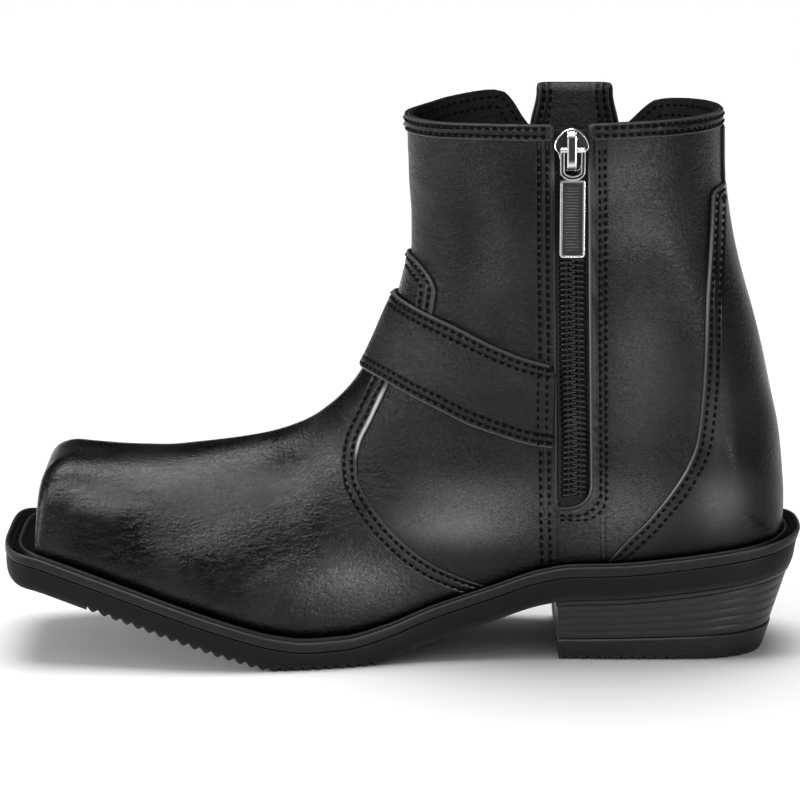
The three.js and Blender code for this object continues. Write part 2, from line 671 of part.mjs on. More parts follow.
// Plan outline at height z: the bare upper's feather line grown by reach times the welt's own width
function outline(z, reach, back, front) {
  const n = 34;
  const xs = Array.from({ length: n + 1 }, (_, i) => -back + (lastLength + front + back) * ((1 - Math.cos((Math.PI * i) / n)) / 2));
  const ring = xs.map((x) => [x, halfWidth(true, x, reach, back, front), z]);
  for (const x of xs.slice(1, -1).reverse()) ring.push([x, -halfWidth(false, x, reach, back, front), z]);
  return ring;
}
const slab = (reach, back, front, rake) =>
  stackRings([outline(0, reach, back - rake * 48, front), outline(80, reach, back + rake * 32, front)]);
// Side profile of a layer between two heights over x
function layer(bottom, top, from, to, step = 6) {
  const n = Math.ceil((to - from) / step);
  const xs = Array.from({ length: n + 1 }, (_, i) => from + ((to - from) * i) / n);
  return [...xs.map((x) => [x, bottom(x)]), ...xs.reverse().map((x) => [x, top(x)])];
}

const weltSolid = slab(weltWidth, heelWelt, toeWelt, edgeRake).intersect(
  sidePrism(layer((x) => weltTop(x) - weltThickness, weltTop, -20, lastLength + 20), -farY, farY),
);

// Outsole with ribs moulded across its tread
const ribFrom = 0.5 * lastLength;
const ribTo = 0.93 * lastLength;
const tread = [];
for (let x = ribFrom; x < ribTo; x += ribPitch) {
  const depth = (at) => soleUnder(at) + ribDepth;
  tread.push(
    [x, soleUnder(x)],
    [x + 0.15, depth(x + 0.15)],
    [x + ribGap - 0.15, depth(x + ribGap - 0.15)],
    [x + ribGap, soleUnder(x + ribGap)],
  );
  const rest = x + (ribGap + ribPitch) / 2;
  if (x + ribPitch < ribTo) tread.push([rest, soleUnder(rest)]);
}
const soleSteps = Math.ceil((lastLength + 40) / 6) + 1;
const soleLine = layer(soleUnder, () => 0, -20, lastLength + 20).slice(0, soleSteps);
const soleBottom = [
  ...soleLine.filter(([x]) => x < ribFrom - 0.5),
  ...tread,
  ...soleLine.filter(([x]) => x > tread.at(-1)[0] + 0.5),
];
const soleTop = layer(() => 0, (x) => weltTop(x) - weltThickness - seam, -20, lastLength + 20).slice(soleSteps);
const outsoleSolid = slab(weltWidth - weltStep, heelWelt - weltStep / 2, toeWelt - weltStep / 2, edgeRake).intersect(
  sidePrism([...soleBottom, ...soleTop], -farY, farY),
);

// Heel: outline under the seat, tapering to the ground
const heelTopZ = 36;
function heelRing(z, grow = 0) {
  const fall = 1 - z / heelTopZ;
  const rear = -heelWelt + edgeRake * 12 + 0.6 + heelRake * fall;
  const fore = heelBreast - breastRake * fall + grow;
  const n = 22;
  const points = [];
  for (let i = 0; i <= n; i++) {
    const c = 1 - Math.cos((Math.PI / 2) * (i / n));
    const x = rear + (fore - rear) * c;
    const u = (x - rear) / (heelRound + heelWelt);
    points.push([x, u]);
  }
  const side = (inner, x, u) =>
    ((inner ? featherInner : featherOuter)(Math.max(x, 0) / lastLength) * ballWidth + (weltWidth - weltStep) * weltShare(0) - heelTaper * fall) *
    round(u, backPower);
  const ring = points.map(([x, u]) => [x, side(true, x, u), z]);
  for (const [x, u] of points.slice(1).reverse()) ring.push([x, -side(false, x, u), z]);
  return ring;
}
const heelSolid = stackRings([heelRing(0), heelRing(heelTopZ + 8)]);
const liftTop = (x) => topLift + 3 * Math.max(0, 1 - (x + heelWelt) / (heelBreast + heelWelt)) ** 1.5;
const randUnder = (x) => soleUnder(x) - seam - heelRand;
const heelFrom = -20;
const heelTo = heelBreast + 6;
const heelRandSolid = heelSolid.intersect(
  sidePrism(layer(randUnder, (x) => soleUnder(x) - seam, heelFrom, heelTo), -farY, farY),
);
const heelStackSolid = stackRings([heelRing(0, -0.5), heelRing(heelTopZ + 8, -0.5)]).intersect(
  sidePrism(layer((x) => liftTop(x) + seam, (x) => randUnder(x) - seam, heelFrom, heelTo), -farY, farY),
);
const liftBottom = [];
for (let x = 12; x < heelBreast - 4; x += ribPitch) {
  liftBottom.push([x, 0], [x + 0.15, ribDepth], [x + ribGap - 0.15, ribDepth], [x + ribGap, 0]);
}
const topLiftSolid = heelSolid.intersect(
  sidePrism([[heelFrom, 0], ...liftBottom, [heelTo, 0], ...layer(() => 0, liftTop, heelFrom, heelTo, 6).slice(-Math.ceil((heelTo - heelFrom) / 6) - 1)], -farY, farY),
);

// Insole inside the upper, on the welt
const insoleInset = 3.6;
const inset = (ring) => ring.map(([x, y, z]) => [x, y * (1 - insoleInset / 40), z]);
const insoleSolid = stackRings([
  inset(outline(0, 0, -insoleInset, -insoleInset - 1.4)),
  inset(outline(80, 0, -insoleInset, -insoleInset - 1.4)),
]).intersect(
  sidePrism(layer((x) => weltTop(x) + seam, (x) => weltTop(x) + seam + insoleThickness, -20, lastLength + 20), -farY, farY),
);

const blackLeather = { color: 0x1b1b1d, roughness: 0.42, metalness: 0 };
const blackRubber = { color: 0x18181a, roughness: 0.7, metalness: 0 };
const stackedLeather = { color: 0x1d1c1c, roughness: 0.5, metalness: 0 };
const gunmetal = { color: 0x4a4a4c, roughness: 0.28, metalness: 1 };
const fabricBlack = { color: 0x141415, roughness: 0.9, metalness: 0 };

const boot = new THREE.Group();
boot.name = "boot";
const add = (name, made, look) => {
  const mesh = new THREE.Mesh(toGeometry(made), new THREE.MeshStandardMaterial(look));
  mesh.name = name;
  boot.add(mesh);
};
add("upper", upperSolid, blackLeather);
add("vamp", vampSolid, blackLeather);
add("counter", counterSolid, blackLeather);
add("back_stay", backStaySolid, blackLeather);
add("top_band", topBandSolid, blackLeather);
add("strap", strapSolid, blackLeather);
add("pull_loop", loopSolid, blackLeather);
add("zip_tape", tapeSolid, fabricBlack);
add("zip_coil", coilSolid, gunmetal);
add("zip_slider", sliderSolid, gunmetal);
add("zip_pull", pullSolid, gunmetal);
add("insole", insoleSolid, stackedLeather);
add("welt", weltSolid, stackedLeather);
add("outsole", outsoleSolid, blackRubber);
add("heel_rand", heelRandSolid, stackedLeather);
add("heel_stack", heelStackSolid, stackedLeather);
add("top_lift", topLiftSolid, blackRubber);

const bounds = new THREE.Box3().setFromObject(boot);
const centre = bounds.getCenter(new THREE.Vector3());
boot.position.set(-centre.x, -centre.y, -bounds.min.z);

export default boot;
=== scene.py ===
import bpy
import numpy as np
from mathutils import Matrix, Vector


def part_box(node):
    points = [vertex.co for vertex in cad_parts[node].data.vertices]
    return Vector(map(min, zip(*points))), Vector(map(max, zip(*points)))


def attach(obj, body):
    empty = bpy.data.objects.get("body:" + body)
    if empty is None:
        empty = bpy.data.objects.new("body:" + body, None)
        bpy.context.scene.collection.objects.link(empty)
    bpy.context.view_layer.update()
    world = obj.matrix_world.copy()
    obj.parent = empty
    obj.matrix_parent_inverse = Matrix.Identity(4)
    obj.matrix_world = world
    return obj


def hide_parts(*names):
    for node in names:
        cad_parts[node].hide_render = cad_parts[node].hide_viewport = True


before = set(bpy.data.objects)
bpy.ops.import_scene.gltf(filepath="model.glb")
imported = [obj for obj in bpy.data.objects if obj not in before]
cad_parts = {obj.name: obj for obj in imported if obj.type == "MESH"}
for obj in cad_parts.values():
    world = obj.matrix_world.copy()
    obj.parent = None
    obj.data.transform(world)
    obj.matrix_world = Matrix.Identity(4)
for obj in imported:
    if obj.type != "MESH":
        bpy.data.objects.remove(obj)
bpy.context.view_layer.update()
print("frame loaded")

bootSize = {
    "lastLength": 284.0,  # heel point to toe of the bare upper
    "ballWidth": 91.0,
    "bootHeight": 208.0,
    "shaftWidth": 87.0,
    "shift": (-144.03, 3.73, 0.0),  # from the last's heel point to the frame's origin
}
length = bootSize["lastLength"]
tall = bootSize["bootHeight"]


# Curves and small helpers


def monotone(xs, ys):
    # cubic through the rows: inner tangents are the harmonic mean of both slopes, so it never overshoots
    xs = np.asarray(xs, float)
    ys = np.asarray(ys, float)
    slope = np.diff(ys) / np.diff(xs)
    product = slope[:-1] * slope[1:]
    total = np.where(product > 0, slope[:-1] + slope[1:], 1.0)
    tangent = np.concatenate([slope[:1], np.where(product > 0, 2 * product / total, 0.0), slope[-1:]])

    def along(x):
        x = np.clip(np.asarray(x, float), xs[0], xs[-1])
        i = np.clip(np.searchsorted(xs, x, side="left") - 1, 0, len(xs) - 2)
        h = xs[i + 1] - xs[i]
        t = (x - xs[i]) / h
        u = 1 - t
        ends = ys[i] * (1 + 2 * t) * u * u + ys[i + 1] * (1 + 2 * u) * t * t
        return ends + h * t * u * (tangent[i] * u - tangent[i + 1] * t)

    return along


def curvesOf(rows):
    # one monotone curve over the first column for each further column
    rows = np.array(rows)
    return [monotone(rows[:, 0], rows[:, k]) for k in range(1, rows.shape[1])]


def roundOff(u, power):
    # quarter of a superellipse: 0 at u = 0, 1 from u = 1 on
    v = 1 - np.clip(u, 0, 1)
    return (1 - v**power) ** (1 / power)


def smoothStep(x):
    x = np.clip(x, 0, 1)
    return x * x * (3 - 2 * x)


def bell(x):
    return np.exp(-(x**2))


def unit(rows):
    return rows / np.maximum(np.linalg.norm(rows, axis=1), 1e-9)[:, None]


def runOf(path):
    # distance run along a path up to each of its points
    return np.concatenate([[0], np.cumsum(np.linalg.norm(np.diff(path, axis=0), axis=1))])


def pick(at, far, path):
    # points of the path at given distances, far being the path's own run
    return np.stack([np.interp(at, far, path[:, k]) for k in range(path.shape[1])], 1)


def valueAt(value, x):
    # a number, or a function of x, as an array over x
    return value(x) if callable(value) else value + 0 * x


featherInner, featherOuter = curvesOf(
    [  # at, inner, outer
        [0, 0.324, 0.324], [0.21, 0.324, 0.324], [0.3, 0.314, 0.33], [0.39, 0.302, 0.346],
        [0.46, 0.313, 0.392], [0.53, 0.357, 0.462], [0.6, 0.412, 0.522], [0.66, 0.448, 0.541],
        [0.72, 0.459, 0.535], [0.8, 0.44, 0.492], [0.88, 0.397, 0.424], [1, 0.335, 0.345],
    ]
)
weltShare = monotone([0.0, 0.3, 0.45, 0.6, 1.0], [0.72, 0.72, 0.78, 1.0, 1.0])
seatHeel, seatToe = curvesOf(
    [  # at, heel, toe
        [-0.032, 1.41, 0], [0.05, 1.25, 0], [0.144, 1.1, 0], [0.218, 1.023, 0], [0.282, 1, 0],
        [0.324, 0.92, 0], [0.39, 0.67, 0], [0.472, 0.375, 0], [0.535, 0.13, 0], [0.585, 0.015, 0],
        [0.634, 0, 0], [0.676, 0, 0.046], [0.74, 0, 0.195], [0.84, 0, 0.47], [0.944, 0, 0.765],
        [1, 0, 0.92], [1.042, 0, 1],
    ]
)

bottomUnit = {
    "soleThickness": 13.0,
    "weltThickness": 3.8,
    "weltWidth": 9.5,
    "weltStep": 0.6,
    "toeWelt": 13.0,
    "heelWelt": 9.0,
    "seatHeight": 36.8,
    "toeHeight": 44.2,
    "ballHeight": 10.8,
    "toeTuck": 4.0,
    "heelRound": 28.0,
    "toeRound": 10.0,
    "backPower": 2.7,
    "toePower": 3.6,
    "edgeRake": 0.17,
    "seam": 0.3,
}


def weltTop(x):
    # ball height + heel curve * rise to the seat + toe curve * rise to the toe
    b = bottomUnit
    rise = seatHeel(x / length) * (b["seatHeight"] - b["ballHeight"])
    return b["ballHeight"] + rise + seatToe(x / length) * (b["toeHeight"] - b["ballHeight"])


def soleUnder(x):
    # the sole's thickness below the welt's top, tucked up at the toe, never under the floor
    tuck = np.clip((x - length - 4) / 9, 0, 1) ** 2
    return np.maximum(0, weltTop(x) - bottomUnit["soleThickness"] + bottomUnit["toeTuck"] * tuck)


# Sections of the last from the toe along the foot, round the heel and up the shaft, as shares
sections = np.array(
    [  # baseX, baseZ, ridgeX, ridgeZ, low, high, inset, lowEnd, highEnd, power, flat, lean
        [0.995, 0, 0.9935, 0.268, 0, 0.74, 0.06, 0.2, 0.35, 2.6, 0.62, 1],
        [0.9945, 0, 0.9915, 0.306, 0, 0.84, 0.06, 0.2, 0.4, 2.6, 0.56, 1],
        [0.989, 0, 0.985, 0.334, 0, 0.88, 0.06, 0.2, 0.45, 2.5, 0.5, 0.9],
        [0.9775, 0, 0.971, 0.351, 0, 0.88, 0.06, 0.2, 0.5, 2.4, 0.42, 0.6],
        [0.959, 0, 0.952, 0.3575, 0, 0.87, 0.06, 0.2, 0.56, 2.35, 0.34, 0.2],
        [0.928, 0, 0.923, 0.3565, 0, 0.85, 0.06, 0.2, 0.62, 2.3, 0.24, 0],
        [0.891, 0, 0.884, 0.355, 0, 0.83, 0.07, 0.2, 0.68, 2.2, 0.16, 0],
        [0.838, 0, 0.835, 0.3555, 0, 0.8, 0.07, 0.2, 0.74, 2.1, 0.1, 0],
        [0.778, 0, 0.782, 0.363, 0, 0.78, 0.07, 0.2, 0.8, 2, 0.07, 0],
        [0.718, 0, 0.725, 0.374, 0, 0.76, 0.07, 0.18, 0.82, 1.95, 0.05, 0],
        [0.658, 0, 0.676, 0.388, 0, 0.76, 0.07, 0.18, 0.82, 1.9, 0.04, 0],
        [0.599, 0, 0.636, 0.41, 0, 0.78, 0.07, 0.16, 0.82, 1.9, 0.03, 0],
        [0.535, 0, 0.604, 0.439, 0, 0.82, 0.07, 0.14, 0.8, 1.9, 0.03, 0],
        [0.472, 0, 0.579, 0.472, 0, 0.9, 0.07, 0.12, 0.76, 1.9, 0.03, 0],
        [0.405, 0, 0.558, 0.512, 0, 0.98, 0.07, 0.11, 0.7, 1.9, 0.03, 0],
        [0.335, 0, 0.539, 0.564, 0, 1.06, 0.06, 0.1, 0.62, 1.95, 0.03, 0],
        [0.264, 0, 0.524, 0.612, 0, 1.1, 0.05, 0.1, 0.54, 2, 0.03, 0],
        [0.187, 0, 0.511, 0.652, 0, 1.13, 0.04, 0.1, 0.48, 2, 0.03, 0],
        [0.113, 0, 0.504, 0.688, 0, 1.16, 0.04, 0.12, 0.44, 2, 0.03, -0.1],
        [0.049, 0, 0.499, 0.719, 0.725, 1.18, 0.06, 0.16, 0.42, 2, 0.03, -0.6],
        [0.001, 0.222, 0.497, 0.75, 0.73, 1.18, 0.06, 0.2, 0.42, 2.05, 0.03, -1],
        [-0.0025, 0.279, 0.497, 0.779, 0.735, 1.18, 0.06, 0.2, 0.42, 2.05, 0.03, -1],
        [0.0005, 0.341, 0.497, 0.805, 0.745, 1.17, 0.06, 0.21, 0.42, 2.05, 0.03, -1],
        [0.0068, 0.413, 0.498, 0.832, 0.765, 1.14, 0.06, 0.22, 0.42, 2.05, 0.03, -1],
        [0.018, 0.483, 0.499, 0.856, 0.795, 1.11, 0.06, 0.24, 0.42, 2.05, 0.03, -1],
        [0.03, 0.558, 0.5, 0.88, 0.835, 1.09, 0.06, 0.27, 0.42, 2.1, 0.03, -1],
        [0.0437, 0.63, 0.501, 0.904, 0.88, 1.06, 0.06, 0.3, 0.43, 2.1, 0.03, -1],
        [0.057, 0.692, 0.502, 0.928, 0.92, 1.04, 0.06, 0.33, 0.44, 2.1, 0.03, -1],
        [0.069, 0.755, 0.5025, 0.952, 0.95, 1.02, 0.06, 0.36, 0.45, 2.1, 0.03, -1],
        [0.078, 0.822, 0.503, 0.976, 0.975, 1.01, 0.06, 0.38, 0.46, 2.1, 0.03, -1],
        [0.0835, 0.885, 0.5035, 1, 0.99, 1, 0.06, 0.4, 0.46, 2.1, 0.03, -1],
        [0.0847, 0.947, 0.504, 1.024, 1, 1, 0.06, 0.41, 0.46, 2.1, 0.03, -1],
        [0.0857, 1.06, 0.504, 1.095, 1, 1, 0.06, 0.41, 0.46, 2.1, 0.03, -1],
    ]
)
lastRow = len(sections) - 1
sectionCurves = [monotone(np.arange(lastRow + 1), column) for column in sections.T]
cornerRow = 20  # the section whose base is the heel's lower back corner
backFlat = 0.06

# Soft folds and dents that wearing and lasting leave
folds = np.array(
    [  # x, z, side (1 inner, -1 outer, 0 both), angle in degrees, half length, half width, depth
        [103, 166, 1, 84, 26, 8, -0.83], [118, 150, 1, 96, 24, 8, 0.83], [130, 172, 1, 60, 16, 7, -0.52],
        [63, 168, 1, 70, 15, 7, -0.75], [52, 150, 1, 60, 15, 6, 0.68], [58, 124, 1, 45, 14, 6, -0.75],
        [50, 112, 1, 136, 15, 3.6, 0.68], [54, 98, 1, 139, 16, 3, 0.75], [58, 86, 1, 141, 15, 3, 0.75],
        [54, 91, 1, 140, 13, 2.4, -0.52], [60, 76, 1, 145, 13, 3, 0.52], [108, 76, 1, 20, 22, 9, -0.9],
        [118, 96, 1, 150, 18, 6, 0.68], [104, 58, 1, 10, 22, 7, -0.52], [168, 74, 0, 58, 16, 5, 0.35],
        [180, 68, 0, 55, 17, 5, -0.35], [190, 62, 0, 52, 15, 5.5, 0.3], [205, 60, 1, 20, 26, 7, -0.3],
        [176, 34, 1, 12, 22, 9, -0.75], [200, 36, 1, 160, 26, 6, 0.45], [250, 58, 1, 172, 24, 5, -0.52],
        [236, 47, 1, 168, 26, 6, 0.38], [22, 70, 1, 100, 15, 7, -0.75], [14, 88, 1, 95, 14, 5, 0.52],
        [38, 58, 1, 30, 14, 6, -0.6], [120, 170, -1, 88, 26, 9, -0.75], [96, 150, -1, 80, 24, 9, 0.75],
        [60, 160, -1, 75, 22, 8, -0.75], [44, 130, -1, 60, 18, 7, 0.75], [60, 105, -1, 140, 20, 4, 0.83],
        [66, 92, -1, 142, 20, 3.6, 0.83], [74, 80, -1, 144, 18, 4, 0.68], [110, 72, -1, 20, 26, 9, -0.83],
        [205, 56, -1, 160, 26, 7, 0.52], [180, 38, -1, 15, 24, 9, -0.68], [20, 76, -1, 96, 16, 7, -0.68],
    ]
)


def foldHeight(x, z, inner):
    # every fold is a bell across its line, faded at both ends:
    # -depth * exp(-(across / width)^2) * fade(along)
    total = np.zeros(np.broadcast(x, z).shape)
    for foldX, foldZ, side, angle, half, wide, depth in folds:
        if side != 0 and (side > 0) != inner:
            continue
        a = np.radians(angle)
        along = (x - foldX) * np.cos(a) + (z - foldZ) * np.sin(a)
        across = -(x - foldX) * np.sin(a) + (z - foldZ) * np.cos(a)
        across = across + 0.012 * along * along / max(half / 12, 1)
        total -= depth * bell(across / wide) * smoothStep(1.4 - np.abs(along) / half)
    return total


# Painted sheen on the leather: lighter patches standing in for soft highlights and floor reflections; a
# strength below 0 paints shade
burnished = np.array(
    [  # x, z, side (1 inner, -1 outer, 0 both), radius in x, radius in z, strength
        [112, 178, 1, 10, 20, 0.8], [104, 150, 1, 11, 16, 0.8], [126, 165, 1, 9, 36, -0.9],
        [64, 186, 1, 11, 13, 6], [58, 166, 1, 13, 9, 5], [40, 178, 1, 8, 20, 0.6],
        [56, 114, 1, 12, 28, 5], [46, 146, 1, 9, 12, 0.8], [60, 58, 1, 18, 12, 7], [116, 62, 1, 26, 9, 8],
        [124, 51, 1, 24, 7, 12], [136, 92, 1, 10, 12, -0.5], [136, 116, 1, 16, 12, 0.9],
        [108, 108, 1, 16, 12, 0.6], [25, 62, 1, 9, 11, 15], [28, 92, 1, 4, 14, 6],
        [6, 100, 1, 8, 40, -0.6], [164, 33, 0, 22, 8, 7], [186, 30, 0, 14, 8, 1],
        [232, 66, 0, 44, 4, 2.6], [262, 60, 0, 12, 5, 2.4], [276, 46, 1, 4, 10, 0.9],
        [176, 78, 0, 12, 12, 0.9], [222, 47, 0, 44, 7, -0.9], [110, 160, -1, 30, 26, 1],
        [60, 150, -1, 16, 30, 1], [110, 70, -1, 34, 22, 1.8], [26, 80, -1, 12, 22, 1.6],
    ]
)


def burnishAt(x, z, isInner):
    # sum of bells: strength * exp(-(dx / radius)^2 - (dz / radius)^2)
    total = np.zeros(len(x))
    for spotX, spotZ, side, rx, rz, strength in burnished:
        here = 1.0 if side == 0 else (isInner if side > 0 else ~isInner)
        total += here * strength * np.exp(-(((x - spotX) / rx) ** 2) - ((z - spotZ) / rz) ** 2)
    return total


def featherShade(x, z):
    # painted shade: the leather's colour goes near black where it goes down behind the welt
    return 1 - smoothStep((z - weltTop(x) - 0.5) / 4.5)


# The last


def lastSection(s, offset):
    # base and ridge points of the section at row s, grown outward by offset
    c = [along(s) for along in sectionCurves]
    bx = c[0] * length
    bz = np.where(s <= cornerRow, weltTop(bx) + bottomUnit["seam"], c[1] * tall)
    ahead = np.minimum(s + 0.1, lastRow)
    behind = np.maximum(s - 0.1, 0)
    dx = (sectionCurves[2](ahead) - sectionCurves[2](behind)) * length
    dz = (sectionCurves[3](ahead) - sectionCurves[3](behind)) * tall
    run = np.hypot(dx, dz)
    base = (bx + c[11] * offset, bz)
    ridge = (c[2] * length + dz / run * offset, c[3] * tall - dx / run * offset)
    return c, bx, base, ridge


def between(base, ridge, t):
    return base[0] + (ridge[0] - base[0]) * t, base[1] + (ridge[1] - base[1]) * t


def sideView(s, t):
    # where row s and share t lie in the side view, without folds
    _, _, base, ridge = lastSection(np.asarray(s, float), 0.0)
    return between(base, ridge, t)


def lastSide(s, t, inner, offset=0.0):
    # point on one side: base and ridge joined by a line, half width = swell * crown * (body + offset)
    s = np.asarray(s, float)
    t = np.asarray(t, float)
    offset = offset + foldHeight(*sideView(s, t), inner)
    c, bx, base, ridge = lastSection(s, offset)
    b = bottomUnit
    feather = featherInner if inner else featherOuter
    toe = roundOff((length - bx + 4) / (b["toeRound"] + 4), b["toePower"])
    up = np.clip(s - cornerRow + 1, 0, 1)
    back = np.clip(s - cornerRow, 0, 1)
    side = feather(np.minimum(bx, length - b["toeRound"]) / length) * bootSize["ballWidth"] * toe
    seatHalf = side / (1 - c[6])
    lowHalf = seatHalf + (c[4] * bootSize["shaftWidth"] / 2 - seatHalf) * up
    seatFoot = side * roundOff(np.maximum(bx, 0.3) / b["heelRound"], b["backPower"])
    foot = (seatFoot + (backFlat * lowHalf - seatFoot) * back) / lowHalf
    body = lowHalf * (1 + (c[5] - 1) * t * t * (3 - 2 * t)) + offset
    swell = foot + (1 - foot) * roundOff(t / c[7], 2.2)
    crown = c[10] + (1 - c[10]) * roundOff((1 - t) / c[8], c[9])
    width = body * swell * crown
    x, z = between(base, ridge, t)
    return np.stack([x, width if inner else -width, z], -1)


def lastPoint(s, t, q, offset=0.0):
    # q is 1 on the inner side, 0 on the outer, and between them on the flat strips of the ridge and the back
    q = np.asarray(q, float)[..., None]
    return lastSide(s, t, True, offset) * q + lastSide(s, t, False, offset) * (1 - q)


seekGrid = np.meshgrid(np.linspace(0, lastRow, 321), np.linspace(0, 1, 41), indexing="ij")
seekS, seekT = (grid.ravel() for grid in seekGrid)
seekX, seekZ = sideView(seekS, seekT)


def findRow(x, z):
    # row and share of side-view points: nearest point of a coarse grid, then Newton steps
    x = np.atleast_1d(np.asarray(x, float))
    z = np.atleast_1d(np.asarray(z, float))
    s = np.empty(len(x))
    t = np.empty(len(x))
    batch = 400
    for start in range(0, len(x), batch):
        part = slice(start, start + batch)
        best = ((seekX - x[part, None]) ** 2 + (seekZ - z[part, None]) ** 2).argmin(1)
        s[part] = seekS[best]
        t[part] = seekT[best]
    h = 1e-3
    for _ in range(8):
        x0, z0 = sideView(s, t)
        xs, zs = sideView(np.minimum(s + h, lastRow), t)
        xt, zt = sideView(s, t + h)
        hs = np.minimum(s + h, lastRow) - s + 1e-9
        a, c = (xs - x0) / hs, (zs - z0) / hs
        b, d = (xt - x0) / h, (zt - z0) / h
        det = a * d - b * c
        det = np.where(np.abs(det) < 1e-6, 1e-6, det)
        ex, ez = x - x0, z - z0
        s = np.clip(s + np.clip((d * ex - b * ez) / det, -0.4, 0.4), 0, lastRow - 1e-3)
        t = np.clip(t + np.clip((a * ez - c * ex) / det, -0.05, 0.05), 0, 1)
    x0, z0 = sideView(s, t)
    return s, t, np.hypot(x - x0, z - z0)


def onLeather(x, z, inner, offset):
    # point and outward normal of the grown last at side-view places
    s, t, _ = findRow(x, z)
    h = 0.02
    low = np.clip(t - h, 0.002, 1)
    high = np.clip(t + h, 0.002, 1)
    p = lastSide(s, t, inner, offset)
    ds = lastSide(np.minimum(s + h, lastRow), t, inner, offset)
    ds -= lastSide(np.maximum(s - h, 0), t, inner, offset)
    dt = lastSide(s, high, inner, offset) - lastSide(s, low, inner, offset)
    n = unit(np.cross(ds, dt))
    turn = np.sign(n[:, 1] * p[:, 1])
    turn[turn == 0] = 1
    return p, n * turn[:, None]


# Meshes


def addPiece(name, points, faces, material, replaces=(), slot="black_leather", body="boot", sharp=40,
             back=None, **attributes):
    # mesh from points in millimetres; -1 in a face's fourth place marks a triangle
    points = (np.asarray(points, float) + np.array(bootSize["shift"])) / 1000
    count = np.where(faces[:, 3] < 0, 3, 4)
    corners = faces[np.arange(4)[None, :] < count[:, None]]
    mesh = bpy.data.meshes.new(name)
    mesh.vertices.add(len(points))
    mesh.vertices.foreach_set("co", points.astype(np.float32).ravel())
    mesh.loops.add(len(corners))
    mesh.loops.foreach_set("vertex_index", corners.astype(np.int32))
    mesh.polygons.add(len(faces))
    mesh.polygons.foreach_set("loop_start", np.concatenate([[0], np.cumsum(count)[:-1]]).astype(np.int32))
    mesh.update(calc_edges=True)
    mesh.validate()
    mesh.polygons.foreach_set("use_smooth", np.ones(len(mesh.polygons), bool))
    mesh.set_sharp_from_angle(angle=np.radians(sharp))
    for key, values in attributes.items():
        layer = mesh.attributes.new(key, "FLOAT", "POINT")
        layer.data.foreach_set("value", np.asarray(values, np.float32))
    piece = bpy.data.objects.new(name, mesh)
    bpy.context.scene.collection.objects.link(piece)
    for made in (material, back) if back else (material,):
        mesh.materials.append(bpy.data.materials[made])
    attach(piece, body)
    if replaces:
        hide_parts(*replaces)
    return piece


def turned(faces):
    # the same faces seen from their other side
    flipped = faces[:, ::-1].copy()
    three = faces[:, 3] < 0
    flipped[three] = faces[three][:, [2, 1, 0, 3]]
    return flipped


def facingOut(points, faces):
    # turns a closed mesh round if its signed volume is negative
    a, b, c = (points[faces[:, k]] for k in range(3))
    d = points[np.where(faces[:, 3] < 0, faces[:, 0], faces[:, 3])]
    volume = (a * np.cross(b, c)).sum() + (a * np.cross(c, d)).sum()
    return faces if volume > 0 else turned(faces)


def ringFaces(rows, columns):
    # quads of a grid of points numbered row by row, every row closed round
    i, j = np.meshgrid(np.arange(rows - 1), np.arange(columns), indexing="ij")
    here = (i * columns + j).ravel()
    beyond = (i * columns + (j + 1) % columns).ravel()
    return np.stack([here, beyond, beyond + columns, here + columns], 1)


def tubeFaces(rows, columns):
    # the same, with the first and the last row closed by fans
    k = np.arange(1, columns - 1)
    end = (rows - 1) * columns
    first = np.stack([0 * k, k, k + 1, 0 * k - 1], 1)
    last = np.stack([0 * k + end, end + k + 1, end + k, 0 * k - 1], 1)
    return np.concatenate([ringFaces(rows, columns), first, last])


def joined(bodies):
    # one mesh from bodies of points and faces, and the values given for their points
    points, faces, values = [], [], []
    start = 0
    for p, f, *value in bodies:
        points.append(p)
        faces.append(np.where(f < 0, -1, f + start))
        values.append(np.broadcast_to(value[0] if value else 0.0, (len(p),)))
        start += len(p)
    return np.concatenate(points), np.concatenate(faces), np.concatenate(values)


def copies(points, faces):
    # one mesh from equal bodies: points by copy, the faces of the first
    shift = np.arange(len(points))[:, None, None] * points.shape[1]
    return points.reshape(-1, 3), np.where(faces[None] < 0, -1, faces[None] + shift).reshape(-1, 4)


def outlineDistance(x, z, outline):
    # signed distance to a closed outline in the side view, positive inside
    best = np.full(x.shape, 1e9)
    inside = np.zeros(x.shape, bool)
    for (ax, az), (bx, bz) in zip(outline, np.roll(outline, -1, 0)):
        ex, ez = bx - ax, bz - az
        along = np.clip(((x - ax) * ex + (z - az) * ez) / (ex * ex + ez * ez + 1e-12), 0, 1)
        best = np.minimum(best, np.hypot(x - ax - along * ex, z - az - along * ez))
        if az != bz:
            crossing = (az > z) != (bz > z)
            inside ^= crossing & (x < ax + (z - az) / (bz - az) * ex)
    return np.where(inside, best, -best)


def within(outline):
    return lambda x, z: outlineDistance(x, z, outline)


def smoothPath(rows, spacing=2.0):
    # even points along a curve through the rows, by centripetal parameter and monotone cubics
    rows = np.asarray(rows, float)
    run = np.concatenate([[0], np.cumsum(np.sqrt(np.linalg.norm(np.diff(rows, axis=0), axis=1)))])
    fine = np.linspace(0, run[-1], 40 * len(rows))
    points = np.stack([monotone(run, column)(fine) for column in rows.T], 1)
    far = runOf(points)
    return pick(np.linspace(0, far[-1], max(2, int(round(far[-1] / spacing)) + 1)), far, points)


def beside(path, distance):
    # the path moved sideways by a distance, to its left as it runs
    step = unit(np.gradient(path, axis=0))
    return path + distance * np.stack([-step[:, 1], step[:, 0]], 1)


